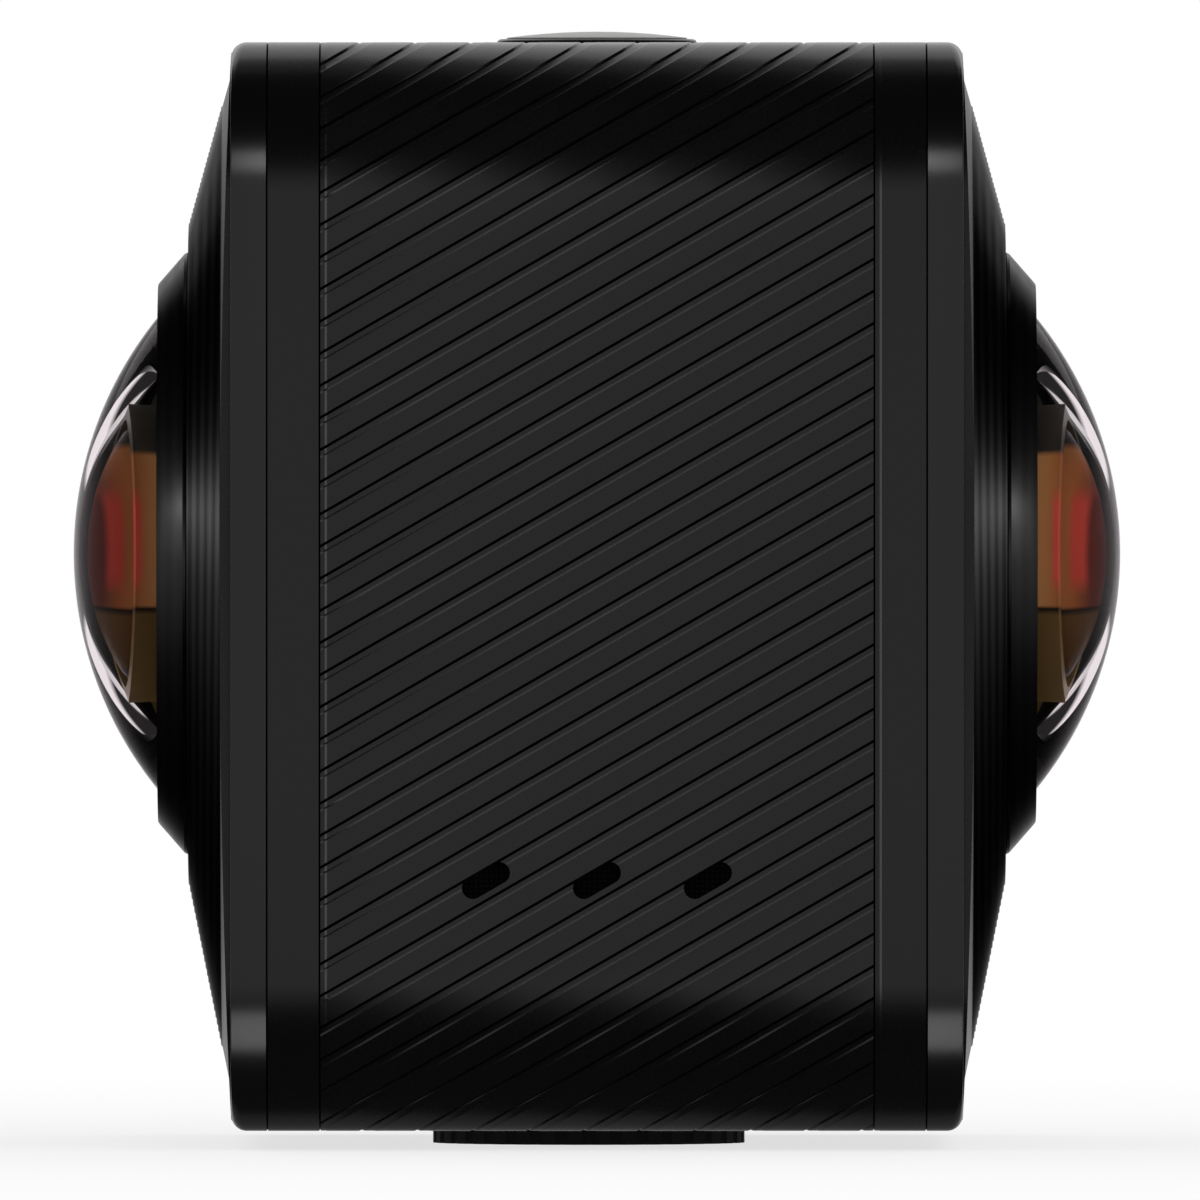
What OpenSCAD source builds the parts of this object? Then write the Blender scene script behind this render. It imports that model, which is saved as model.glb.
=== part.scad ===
/* [Body] */
// Height of the body, without the foot and the button
body_h = 60; // [56:0.5:70]
// Depth of the body, across the two grooved side walls
body_d = 60; // [56:0.5:70]
// Radius of the four long corners
corner_r = 8.2; // [7:0.1:10]
// Width of the grooved sleeve, along the lens axis
sleeve_w = 30.5; // [30:0.1:36]
// Width of each smooth frame band
frame_w = 2.9; // [2.5:0.1:4.5]
// Width of each rim band
rim_w = 2; // [1.8:0.1:3]
// Wall of the sleeve
wall = 1.6; // [1.2:0.1:2]
// Radius along the top and bottom edge of each rim
edge_r = 0.85; // [0.3:0.05:1]

/* [Grooves] */
// Slope of the grooves, in degrees
groove_angle = 30; // [20:1:40]
// Distance between grooves, square to them
groove_pitch = 1.53; // [1.2:0.01:3]
// Width of a groove
groove_w = 0.43; // [0.2:0.01:0.8]
// Depth of a groove
groove_depth = 0.2; // [0.1:0.05:0.4]
// Height of the middle groove above the middle of the body
groove_shift = 0.3; // [-0.5:0.05:0.5]

/* [Sound slots] */
// Number of slots
slot_count = 3; // [1:2:3]
// Distance between slots
slot_pitch = 6.1; // [4:0.1:7]
// Width of a slot
slot_w = 1.2; // [0.8:0.05:1.6]
// Overall length of a slot
slot_len = 2.87; // [2:0.05:4]
// Distance of the slots below the middle of the body
slot_drop = 16.1; // [15:0.1:17]

/* [Lens ends] */
// Height of the lens axis above the middle of the body
lens_rise = 1.7; // [0:0.1:2.5]
// Thickness of the plate where it sits in the rim
plate_t = 0.8; // [0.6:0.05:1.1]
// Crown of the plate at half height
plate_crown = 0.6; // [0.3:0.05:1]
// Width of the rim's lip round the plate
lip_w = 0.6; // [0.5:0.05:1.5]
// Radius of the surround where it meets the plate
surround_base_r = 28.8; // [26:0.1:29]
// Radius of the surround's flat top
surround_top_r = 18.1; // [17.5:0.1:20]
// Height of the surround
surround_h = 2.5; // [2:0.1:3.5]
// Outer radius of the lens ring at its foot
ring_base_r = 16.7; // [16.3:0.1:17.4]
// Outer radius of the lens ring at its face
ring_face_r = 15; // [14.6:0.1:16]
// Height of the lens ring
ring_h = 1.7; // [1.5:0.05:2.5]
// Radius of the dome where it leaves the lens ring
dome_r = 13.15; // [12.8:0.05:13.3]
// Height of the dome above the lens ring
dome_rise = 4.7; // [4.2:0.1:5.5]

/* [Lens elements] */
// Thickness of the dome in the middle
dome_t = 0.9; // [0.7:0.05:1.2]
// Inner radius of the dome
dome_inner_r = 12.4; // [12:0.1:13]
// Radius of the second element
second_r = 7.4; // [6.8:0.1:7.6]
// Radius of the third element
third_r = 4.4; // [4:0.1:4.8]
// Radius of the field lens in front of the sensor
field_r = 5; // [4.5:0.1:5.4]
// Radius of the barrel's rear tube
tube_r = 6.5; // [6.2:0.1:6.8]

/* [Button] */
// Radius of the button's ring
button_ring_r = 5.55; // [5:0.05:6.5]
// Height of the ring above the top
button_ring_h = 0.25; // [0.1:0.05:0.5]
// Height of the button above the top
button_h = 0.66; // [0.5:0.02:1]
// Crown of the button
button_crown = 0.34; // [0.1:0.02:0.4]
// Travel of the button
button_travel = 0.4; // [0.2:0.05:0.5]

/* [Foot] */
// Radius of the foot pad
foot_r = 8.65; // [7.5:0.05:10]
// Height of the foot pad
foot_h = 1; // [0.6:0.1:2]
// Offset of the foot along the lens axis
foot_x = -0.45; // [-1:0.05:1]
// Number of flutes round the foot pad
flute_count = 36; // [24:2:48]
// Radius of the tripod thread
thread_r = 2.55; // [2.5:0.05:3]
// Depth of the tripod thread
thread_depth = 7; // [5:0.5:8]

/* [Port door] */
// Width of the port door
door_w = 18.6; // [18:0.1:19.2]
// Height of the port door
door_h = 9.1; // [8.5:0.1:9.5]
// Thickness of the port door
door_t = 1.4; // [1.2:0.1:1.6]
// Height of the middle of the door above the underside of the body
door_rise = 15; // [14.8:0.1:15.4]
// Radius of the door's hinge barrel
hinge_r = 1; // [0.8:0.05:1.1]
// Radius of the hinge pin
pin_r = 0.4; // [0.3:0.05:0.5]

/* [Clearances] */
// Gap between pieces that are fitted together
fit = 0.05; // [0.02:0.01:0.08]
// Gap round a screw or a board
slack = 0.15; // [0.1:0.05:0.2]
// Gap round the port door and the button
move_gap = 0.2; // [0.15:0.05:0.25]

/* [Hidden] */
$fn = 96;
fine_fn = 360;
over = 1;
sliver = 0.01;
bite = 0.1;
mid_z = foot_h + body_h / 2;
top_z = foot_h + body_h;
floor_z = foot_h + wall;
ceiling_z = top_z - wall;
wall_y = body_d / 2 - wall;
lens_z = mid_z + lens_rise;

sleeve_x = sleeve_w / 2;
frame_x = sleeve_x + frame_w;
rim_x = frame_x + rim_w;
plate_x = rim_x - plate_t;
land_x = rim_x + surround_h;
face_x = land_x + ring_h;
apex_x = face_x + dome_rise;

spigot_len = 2.6;
spigot_t = 1;
spigot_x = sleeve_x - spigot_len;
spigot_in = wall + fit + spigot_t;
column_r = 3;
column_bite = 0.2;
column_in = corner_r - (corner_r - wall - column_r + column_bite) / sqrt(2);
column_reach = column_in + column_r;
screw_r = 1;
screw_head_r = 1.8;
screw_head_h = 0.6;
screw_len = 10;
shelf_seat = 0.5;
shelf_bore_r = 17;
crown_steps = 24;

sphere_r = (dome_r * dome_r + dome_rise * dome_rise) / (2 * dome_rise);
sphere_x = apex_x - sphere_r;
ring_lip_h = 0.8;
ring_lip_x = face_x - ring_lip_h;
dome_edge_w = 0.8;
dome_edge_r = dome_r + dome_edge_w;
dome_edge_h = 1.4;
dome_base_x = ring_lip_x - dome_edge_h;
dome_inner_x = apex_x - dome_t - dome_inner_r;
ring_bore_r = dome_edge_r + fit;
ring_spigot_t = 1.35;
ring_spigot_r = ring_bore_r + ring_spigot_t;
ring_inset = 0.2;
ring_spigot_x = plate_x + ring_inset;
surround_bore_r = ring_spigot_r + fit;
seal_t = 0.8;
seal_in_r = 11.8;
seal_out_r = 13;
flange_x = dome_base_x - seal_t;
flange_t = 1.6;
flange_r = ring_bore_r - fit;

collar_x = face_x - ring_inset;
collar_t = 0.85;
second_inset = 0.4;
second_base_x = dome_base_x + second_inset;
second_edge_h = 2.5;
second_rise = 2.1;
second_sphere_r = (second_r * second_r + second_rise * second_rise) / (2 * second_rise);
second_hollow_r = 6.5;
second_t = 0.85;
third_step = 1.9;
third_base_x = second_base_x - third_step;
third_edge_h = 3.4;
third_rise = 1.5;
third_sphere_r = (third_r * third_r + third_rise * third_rise) / (2 * third_rise);
stop_r = 3.6;

chassis_t = 2;
board_t = 1;
sensor_board_w = 22;
sensor_x = chassis_t / 2 + board_t;
sensor_t = 1;
sensor_w = 9;
sensor_h = 7;
holder_w = 18;
holder_base_t = 2;
holder_wall = 1.5;
holder_r = tube_r + fit + holder_wall;
shoulder_x = 13;
barrel_r = 8.6;
sensor_gap = 2;
tube_x = sensor_x + sensor_t + sensor_gap;
field_t = 4;
field_wall = 1;
field_x = shoulder_x - field_wall - field_t;
small_screw_r = 0.8;
small_head_r = 1.4;
small_head_h = 1;
holder_screw_in = 7.2;

main_board_t = 1.2;
main_board_rise = 13.2;
main_board_z = foot_h + main_board_rise;
main_top_z = main_board_z + main_board_t;
inner_x = spigot_x - slack;
main_front_y = -18;
bay_depth = 5.8;
bay_floor_y = body_d / 2 - bay_depth;
bay_floor_t = 1;
main_back_y = bay_floor_y - bay_floor_t - slack;
base_t = 1.6;
base_y = 20;
card_len = 14.6;
web_y = 16;
leg_w = 3;
leg_y = [-web_y, bay_floor_y - card_len - slack - leg_w];
leg_top = 1;
web_gap = 3.6;
web_z = main_top_z + web_gap;
post_x = 9.6;
post_y = [-15, 17.5];
post_r = 2.2;
board_head_h = 1.2;
board_screw_len = 6;

switch_t = 2.5;
switch_w = 6;
plunger_r = 1.4;
plunger_spare = 0.4;
plunger_h = button_travel + plunger_spare;
plunger_in = 0.6;
plunger_well = plunger_in + button_travel + plunger_spare;
button_flange_t = 0.7;
ring_flange_t = 1;
ring_flange_w = 1.05;
button_ring_wall = 0.45;
button_r = button_ring_r - button_ring_wall - 2 * fit;
button_flange_w = 0.9;
button_flange_r = button_r + button_flange_w;
ring_flange_z = ceiling_z - ring_flange_t;
button_flange_z = ring_flange_z - 2 * fit - button_flange_t;
switch_top_z = button_flange_z - plunger_h;
switch_z = switch_top_z - switch_t;
button_board_t = 1;
button_board_w = 14;
shelf_t = 1.2;
shelf_z = switch_z - button_board_t - shelf_t;
shelf_x = 10;
shelf_y = 12;
web_bite = 0.5;
prop_r = 1.5;
prop_in = 1.8;

bush_r = 4;
bush_mouth = 0.3;
bush_flange_r = 6;
bush_flange_t = 1.2;
bush_cap = 1.2;

speaker_w = 16;
speaker_t = 4;
speaker_gap = 0.8;
speaker_low_z = foot_h + column_reach + speaker_gap;
mesh_t = 0.3;
mesh_h = 4;
slot_z = mid_z - slot_drop;
speaker_h = 2 * (slot_z - speaker_low_z);
battery_t = 8;
battery_low_z = speaker_low_z + speaker_h + speaker_gap;
battery_h = top_z - column_reach - speaker_gap - battery_low_z;

door_z = foot_h + door_rise;
door_y = body_d / 2 - door_t;
door_gap = move_gap;
bay_wall = 1.4;
pocket_w = door_w + 2 * door_gap;
pocket_h = door_h + 2 * door_gap;
bay_w = pocket_w + 2 * bay_wall;
bay_h = pocket_h + 2 * bay_wall;
bay_corner_r = 1.8;
door_corner_r = 0.3;
bay_lip = 0.5;
bay_lip_t = 1.2;
ledge_w = 0.8;
hinge_x = -door_w / 2 + hinge_r;
hinge_y = body_d / 2 - hinge_r;
nail_r = 3;
nail_depth = 0.5;
nail_w = 3;
usb_w = 7.5;
usb_h = 2.6;
usb_len = 5.6;
usb_wall = 0.3;
tongue_in = 1;
card_w = 13.6;
card_h = 1.5;
card_slot_w = 11.4;
card_slot_h = 0.9;
chip_t = 1.2;
processor_w = 9;
processor_pos = [7.4, -7];
memory_w = 8;
memory_pos = [-7.4, 5];
spreader_t = 1;
spreader_w = 10.5;
spreader_d = 12;
antenna_pos = [4.6, -15.7];
antenna_size = [5, 3, 1];
flex_t = 0.15;
flex_w = 7;
flex_y = 4;
plug_w = 2;
plug_h = 1.6;
plug_d = 8;

// A rectangle with round corners, about the origin
module rounded(w, h, r) {
    square([w - 2 * r, h], center = true);
    square([w, h - 2 * r], center = true);
    for (u = [-1, 1], v = [-1, 1]) translate([u * (w / 2 - r), v * (h / 2 - r)]) circle(r);
}

// The body's outline across the lens axis, drawn in by an inset
module outline(inset = 0) {
    translate([0, mid_z]) rounded(body_d - 2 * inset, body_h - 2 * inset, corner_r - inset);
}

// Carries a drawing in depth and height along the lens axis
module along_x(x0, x1) {
    translate([x0, 0, 0]) rotate([90, 0, 90]) linear_extrude(x1 - x0) children();
}

// A round bar on the lens axis
module lens_bar(x0, x1, r) {
    translate([x0, 0, lens_z]) rotate([0, 90, 0]) cylinder(r = r, h = x1 - x0);
}

// A round ring on the lens axis
module lens_tube(x0, x1, r_out, r_in) {
    difference() {
        lens_bar(x0, x1, r_out);
        lens_bar(x0 - over, x1 + over, r_in);
    }
}

// A ball on the lens axis
module lens_ball(x, r) {
    translate([x, 0, lens_z]) sphere(r);
}

// Turns a half profile, drawn as radius and distance along the lens axis, round that axis
module lens_turn() {
    translate([0, 0, lens_z]) rotate([0, 90, 0]) rotate_extrude() children();
}

// The rear end is the front end turned round the upright axis
module turned() {
    rotate([0, 0, 180]) children();
}

// The four long corners where the case screws run
module at_columns() {
    for (u = [-1, 1], v = [-1, 1])
        translate([0, u * (body_d / 2 - column_in), mid_z + v * (body_h / 2 - column_in)]) children();
}

// A bar along the lens axis, from its own origin
module bar_x(x0, x1, r) {
    translate([x0, 0, 0]) rotate([0, 90, 0]) cylinder(r = r, h = x1 - x0);
}

// The slanted grooves, cut only into the outer skin, as many as leave a whole rib at the top and bottom edge
module grooves() {
    rise = groove_pitch / cos(groove_angle);
    edge = groove_depth + groove_w / 2 / cos(groove_angle);
    reach = body_h / 2 + sleeve_x * tan(groove_angle) - edge;
    below = floor((reach + groove_shift) / rise);
    above = floor((reach - groove_shift) / rise);
    intersection() {
        along_x(-sleeve_x - over, sleeve_x + over) difference() {
            outline(-over);
            outline(groove_depth);
        }
        for (k = [-below:above])
            translate([0, 0, mid_z + groove_shift + k * rise])
                rotate([0, -groove_angle, 0])
                    cube([2 * sleeve_w, 2 * body_d, groove_w], center = true);
    }
}

// The slanted slots in the wall in front of the speaker
module sound_slots() {
    for (k = [0:slot_count - 1])
        translate([(k - (slot_count - 1) / 2) * slot_pitch, wall - body_d / 2 + over, slot_z])
            rotate([90, 0, 0]) linear_extrude(wall + 2 * over)
                rotate(groove_angle) rounded(slot_len, slot_w, slot_w / 2 - sliver);
}

module centre_sleeve() {
    color("#2c2c2d") difference() {
        union() {
            along_x(-sleeve_x, sleeve_x) difference() {
                outline();
                outline(wall);
            }
            intersection() {
                at_columns() bar_x(-spigot_x, spigot_x, column_r);
                along_x(-sleeve_x, sleeve_x) outline(wall / 2);
            }
        }
        grooves();
        sound_slots();
        at_columns() bar_x(-sleeve_x, sleeve_x, screw_r + fit);
        translate([0, 0, ceiling_z - over]) cylinder(r = button_ring_r + fit, h = wall + 2 * over);
        translate([foot_x, 0, foot_h - over]) cylinder(r = bush_r + fit, h = wall + 2 * over);
        translate([0, body_d / 2 + over, door_z]) rotate([90, 0, 0])
            linear_extrude(wall + 2 * over) rounded(bay_w + 2 * fit, bay_h + 2 * fit, bay_corner_r + fit);
    }
}

module frame_end() {
    color("#262627") difference() {
        union() {
            along_x(sleeve_x, frame_x) difference() {
                outline();
                outline(spigot_in);
            }
            along_x(spigot_x, frame_x) difference() {
                outline(wall + fit);
                outline(spigot_in);
            }
            intersection() {
                at_columns() bar_x(spigot_x, frame_x, column_r);
                along_x(spigot_x, frame_x) outline(wall + fit);
            }
        }
        at_columns() bar_x(spigot_x - over, frame_x + over, screw_r + slack);
    }
}

module front_frame() frame_end();
module rear_frame() turned() frame_end();

// Rounds the top and bottom edge of a rim
module edge_cut(side) {
    translate([rim_x - edge_r, 0, mid_z + side * (body_h / 2 - edge_r)]) difference() {
        translate([0, -body_d / 2 - over, side > 0 ? 0 : -edge_r - over])
            cube([edge_r + over, body_d + 2 * over, edge_r + over]);
        translate([0, body_d, 0]) rotate([90, 0, 0]) cylinder(r = edge_r, h = 2 * body_d);
    }
}

module rim_end() {
    color("#1d1d1e") difference() {
        along_x(frame_x, rim_x) outline();
        along_x(plate_x, rim_x + over) outline(lip_w);
        lens_bar(frame_x - over, rim_x + over, shelf_bore_r);
        at_columns() bar_x(frame_x - over, rim_x, screw_r + slack);
        at_columns() bar_x(frame_x + shelf_seat, rim_x, screw_head_r + slack);
        edge_cut(1);
        edge_cut(-1);
    }
}

module front_rim() rim_end();
module rear_rim() turned() rim_end();

// The sloped body of the surround, grown all round by a clearance
module slope(grow = 0) {
    hull() {
        translate([rim_x, 0, mid_z]) bar_x(0, sliver, surround_base_r + grow);
        translate([land_x - sliver, 0, lens_z]) bar_x(0, sliver, surround_top_r + grow);
    }
}

// The plate swells towards the middle of its height, in steps too fine to see
module plate_end() {
    half_h = body_h / 2 - lip_w - fit;
    swell = [for (k = [0:crown_steps]) let (v = 2 * k / crown_steps - 1)
        [rim_x + plate_crown * (1 - v * v), mid_z + v * half_h]];
    back = [[plate_x, mid_z + half_h], [plate_x, mid_z - half_h]];
    color("#232324") difference() {
        intersection() {
            along_x(plate_x, rim_x + plate_crown) outline(lip_w + fit);
            translate([0, body_d, 0]) rotate([90, 0, 0]) linear_extrude(2 * body_d)
                polygon(concat(back, swell));
        }
        slope(fit);
        lens_bar(plate_x - over, land_x, surround_bore_r);
    }
}

module front_plate() plate_end();
module rear_plate() turned() plate_end();

module surround_end() {
    color("#141415") difference() {
        slope();
        lens_bar(plate_x, land_x + over, surround_bore_r);
    }
}

module front_surround() surround_end();
module rear_surround() turned() surround_end();

module lens_ring_end() {
    color("#101011") difference() {
        union() {
            lens_bar(ring_spigot_x, land_x, ring_spigot_r);
            translate([land_x, 0, lens_z]) rotate([0, 90, 0])
                cylinder(r1 = ring_base_r, r2 = ring_face_r, h = ring_h);
        }
        lens_bar(ring_spigot_x - over, ring_lip_x, ring_bore_r);
        lens_ball(sphere_x, sphere_r + fit);
    }
}

module front_lens_ring() lens_ring_end();
module rear_lens_ring() turned() lens_ring_end();

module dome_end() {
    color("#6a6468", 0.5) lens_turn() difference() {
        intersection() {
            translate([0, sphere_x]) circle(sphere_r);
            union() {
                translate([0, dome_base_x]) square([dome_edge_r, dome_edge_h]);
                translate([0, ring_lip_x]) square([dome_edge_r, apex_x]);
            }
        }
        translate([0, dome_inner_x]) circle(dome_inner_r);
    }
}

module front_dome() dome_end();
module rear_dome() turned() dome_end();

module lens_seal_end() {
    color("#0a0a0a") lens_tube(flange_x, dome_base_x, seal_out_r, seal_in_r);
}

module front_lens_seal() lens_seal_end();
module rear_lens_seal() turned() lens_seal_end();

module second_element_end() {
    edge_x = second_base_x + second_edge_h;
    tip_x = edge_x + second_rise;
    color("#84312b", 0.7) lens_turn() difference() {
        intersection() {
            translate([0, second_base_x]) square([second_r, tip_x]);
            translate([0, tip_x - second_sphere_r]) circle(second_sphere_r);
        }
        translate([0, tip_x - second_t - second_hollow_r]) circle(second_hollow_r);
    }
}

module front_second_element() second_element_end();
module rear_second_element() turned() second_element_end();

module third_element_end() {
    tip_x = third_base_x + third_edge_h + third_rise;
    color("#8a5a2a", 0.8) intersection() {
        lens_bar(third_base_x, tip_x + over, third_r);
        lens_ball(tip_x - third_sphere_r, third_sphere_r);
    }
}

module front_third_element() third_element_end();
module rear_third_element() turned() third_element_end();

module field_lens_end() {
    color("#7c8a78", 0.8) lens_bar(field_x, field_x + field_t, field_r);
}

module front_field_lens() field_lens_end();
module rear_field_lens() turned() field_lens_end();

module barrel_end() {
    color("#18181a") difference() {
        union() {
            lens_bar(tube_x, shoulder_x, tube_r);
            lens_bar(shoulder_x, flange_x, barrel_r);
            lens_bar(flange_x - flange_t, flange_x, flange_r);
            lens_bar(flange_x, collar_x, second_r + fit + collar_t);
        }
        lens_bar(second_base_x, collar_x + over, second_r + fit);
        lens_bar(third_base_x, collar_x, third_r + fit);
        lens_bar(tube_x, collar_x, stop_r);
        lens_bar(tube_x - over, field_x + field_t, field_r + fit);
    }
}

module front_barrel() barrel_end();
module rear_barrel() turned() barrel_end();

// Two opposite corners of the lens holder, where its screws run
module at_holder_screws() {
    for (side = [-1, 1]) translate([0, side * holder_screw_in, lens_z + side * holder_screw_in]) children();
}

module lens_holder_end() {
    color("#202022") difference() {
        union() {
            translate([sensor_x, -holder_w / 2, lens_z - holder_w / 2])
                cube([holder_base_t, holder_w, holder_w]);
            lens_bar(sensor_x, shoulder_x, holder_r);
        }
        lens_bar(sensor_x - over, shoulder_x + over, tube_r + fit);
        at_holder_screws() bar_x(0, shoulder_x, small_screw_r + fit);
    }
}

module front_lens_holder() lens_holder_end();
module rear_lens_holder() turned() lens_holder_end();

module image_sensor_end() {
    color("#3a3550") translate([sensor_x, -sensor_w / 2, lens_z - sensor_h / 2])
        cube([sensor_t, sensor_w, sensor_h]);
}

module front_image_sensor() image_sensor_end();
module rear_image_sensor() turned() image_sensor_end();

module sensor_board_end() {
    color("#1d4a2c") difference() {
        translate([chassis_t / 2, -sensor_board_w / 2, lens_z - sensor_board_w / 2])
            cube([board_t, sensor_board_w, sensor_board_w]);
        at_holder_screws() bar_x(0, sensor_x + over, small_screw_r + fit);
    }
}

module front_sensor_board() sensor_board_end();
module rear_sensor_board() turned() sensor_board_end();

module flex_end() {
    low_z = main_top_z + plug_h;
    high_z = lens_z - holder_w / 2 - slack;
    color("#b0702a") translate([sensor_x, flex_y - flex_w / 2, low_z])
        cube([flex_t, flex_w, high_z - low_z]);
}

module front_flex() flex_end();
module rear_flex() turned() flex_end();

module plug_end() {
    translate([sensor_x + flex_t / 2 - plug_w / 2, flex_y - plug_d / 2, main_top_z])
        cube([plug_w, plug_d, plug_h]);
}

module flex_connectors() {
    color("#d8d4c8") {
        plug_end();
        turned() plug_end();
    }
}

module holder_screw_end() {
    at_holder_screws() {
        bar_x(fit, sensor_x + holder_base_t + bite, small_screw_r);
        bar_x(sensor_x + holder_base_t, sensor_x + holder_base_t + small_head_h, small_head_r);
    }
}

module holder_screws() {
    color("#8c8c90") {
        holder_screw_end();
        turned() holder_screw_end();
    }
}

module case_screw_end() {
    seat_x = frame_x + shelf_seat;
    at_columns() {
        bar_x(seat_x - screw_len, seat_x + bite, screw_r);
        bar_x(seat_x, seat_x + screw_head_h, screw_head_r);
    }
}

module case_screws() {
    color("#77777b") {
        case_screw_end();
        turned() case_screw_end();
    }
}

// The four posts that carry the main board
module at_posts() {
    for (x = [-post_x, post_x], y = post_y) translate([x, y, 0]) children();
}

module board_screws() {
    color("#8c8c90") at_posts() {
        translate([0, 0, main_top_z - board_screw_len]) cylinder(r = screw_r, h = board_screw_len + bite);
        translate([0, 0, main_top_z]) cylinder(r = screw_head_r, h = board_head_h);
    }
}

module chassis() {
    color("#5a5c60") difference() {
        union() {
            translate([-inner_x, -base_y, floor_z]) cube([2 * inner_x, 2 * base_y, base_t]);
            for (y = leg_y)
                translate([-chassis_t / 2, y, floor_z]) cube([chassis_t, leg_w, web_z - floor_z + leg_top]);
            translate([-chassis_t / 2, -web_y, web_z])
                cube([chassis_t, 2 * web_y, shelf_z - web_z + web_bite]);
            translate([-shelf_x, -shelf_y, shelf_z]) cube([2 * shelf_x, 2 * shelf_y, shelf_t]);
            for (u = [-1, 1], v = [-1, 1])
                translate([u * (shelf_x - prop_in), v * (shelf_y - prop_in), shelf_z])
                    cylinder(r = prop_r, h = ceiling_z - shelf_z);
            at_posts() translate([0, 0, floor_z]) cylinder(r = post_r, h = main_board_z - floor_z);
        }
        translate([foot_x, 0, floor_z - over]) cylinder(r = bush_r + fit, h = base_t + 2 * over);
        translate([foot_x, 0, floor_z + base_t])
            cylinder(r = bush_flange_r + slack, h = bush_flange_t + slack);
        at_posts() translate([0, 0, floor_z + base_t]) cylinder(r = screw_r + fit, h = main_board_z);
        at_holder_screws() bar_x(-chassis_t, chassis_t, small_screw_r + fit);
        turned() at_holder_screws() bar_x(-chassis_t, chassis_t, small_screw_r + fit);
    }
}

module main_board() {
    color("#1d4a2c") difference() {
        translate([-inner_x, main_front_y, main_board_z])
            cube([2 * inner_x, main_back_y - main_front_y, main_board_t]);
        for (y = leg_y)
            translate([-chassis_t / 2 - slack, y - slack, main_board_z - over])
                cube([chassis_t + 2 * slack, leg_w + 2 * slack, main_board_t + 2 * over]);
        at_posts() translate([0, 0, main_board_z - over])
            cylinder(r = screw_r + slack, h = main_board_t + 2 * over);
    }
}

// A flat part on top of the main board, about a point
module on_board(pos, size, lift = 0) {
    translate([pos[0] - size[0] / 2, pos[1] - size[1] / 2, main_top_z + lift]) cube(size);
}

module processor() {
    color("#1a1a1c") on_board(processor_pos, [processor_w, processor_w, chip_t]);
}

module memory_chip() {
    color("#1a1a1c") on_board(memory_pos, [memory_w, memory_w, chip_t]);
}

module heat_spreader() {
    color("#b8bcc0") on_board(processor_pos, [spreader_w, spreader_d, spreader_t], chip_t);
}

module antenna() {
    color("#e4e0d6") on_board(antenna_pos, antenna_size);
}

module usb_socket() {
    color("#b4b6ba") translate([0, bay_floor_y - usb_len, main_top_z]) difference() {
        translate([-usb_w / 2, 0, 0]) cube([usb_w, usb_len, usb_h]);
        difference() {
            translate([-usb_w / 2 + usb_wall, usb_wall, usb_wall])
                cube([usb_w - 2 * usb_wall, usb_len, usb_h - 2 * usb_wall]);
            translate([-usb_w / 4, 0, usb_h / 2]) cube([usb_w / 2, usb_len - tongue_in, usb_wall * 2]);
        }
    }
}

module card_socket() {
    color("#a8aaae") translate([0, bay_floor_y - card_len, main_board_z - card_h]) difference() {
        translate([-card_w / 2, 0, 0]) cube([card_w, card_len, card_h]);
        translate([-card_slot_w / 2, usb_wall, (card_h - card_slot_h) / 2])
            cube([card_slot_w, card_len, card_slot_h]);
    }
}

module battery() {
    color("#8f9499") translate([-inner_x, -wall_y + slack, battery_low_z])
        cube([2 * inner_x, battery_t, battery_h]);
}

module speaker() {
    color("#2a2a2c") translate([-speaker_w / 2, -wall_y + mesh_t, speaker_low_z])
        cube([speaker_w, speaker_t, speaker_h]);
}

module speaker_mesh() {
    color("#050505") translate([-speaker_w / 2, -wall_y, slot_z - mesh_h / 2])
        cube([speaker_w, mesh_t, mesh_h]);
}

module button_board() {
    color("#1d4a2c") translate([-button_board_w / 2, -button_board_w / 2, shelf_z + shelf_t])
        cube([button_board_w, button_board_w, button_board_t]);
}

module switch_body() {
    color("#202020") difference() {
        translate([-switch_w / 2, -switch_w / 2, switch_z]) cube([switch_w, switch_w, switch_t]);
        translate([0, 0, switch_top_z - plunger_well])
            cylinder(r = plunger_r + fit, h = plunger_well + over);
    }
}

module switch_plunger() {
    color("#c03028") translate([0, 0, switch_top_z - plunger_in])
        cylinder(r = plunger_r, h = plunger_h + plunger_in);
}

module shutter_button() {
    crown_r = (button_r * button_r + button_crown * button_crown) / (2 * button_crown);
    color("#4a4744") {
        translate([0, 0, button_flange_z]) cylinder(r = button_flange_r, h = button_flange_t);
        intersection() {
            translate([0, 0, button_flange_z]) cylinder(r = button_r, h = body_h);
            translate([0, 0, top_z + button_h - crown_r]) sphere(crown_r, $fn = fine_fn);
        }
    }
}

module button_ring() {
    inner_r = button_ring_r - button_ring_wall;
    color("#161616") difference() {
        union() {
            translate([0, 0, ring_flange_z]) cylinder(r = button_ring_r + ring_flange_w, h = ring_flange_t);
            translate([0, 0, ring_flange_z])
                cylinder(r = button_ring_r, h = top_z + button_ring_h - ring_flange_z);
        }
        translate([0, 0, ring_flange_z - over]) cylinder(r = inner_r, h = body_h);
    }
}

module foot_pad() {
    flute_r = foot_r * PI / flute_count / 2;
    color("#0c0c0c") translate([foot_x, 0, 0]) difference() {
        cylinder(r = foot_r, h = foot_h);
        translate([0, 0, -over]) cylinder(r = bush_r + fit, h = foot_h + 2 * over);
        for (k = [0:flute_count - 1])
            rotate(k * 360 / flute_count) translate([foot_r + flute_r / 2, 0, -over])
                cylinder(r = flute_r, h = foot_h + 2 * over);
    }
}

module tripod_bush() {
    flange_z = floor_z + base_t;
    color("#b08d4a") translate([foot_x, 0, 0]) difference() {
        union() {
            translate([0, 0, bush_mouth]) cylinder(r = bush_r, h = thread_depth + bush_cap);
            translate([0, 0, flange_z]) cylinder(r = bush_flange_r, h = bush_flange_t);
        }
        translate([0, 0, bush_mouth - over]) cylinder(r = thread_r, h = thread_depth + over);
    }
}

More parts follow.
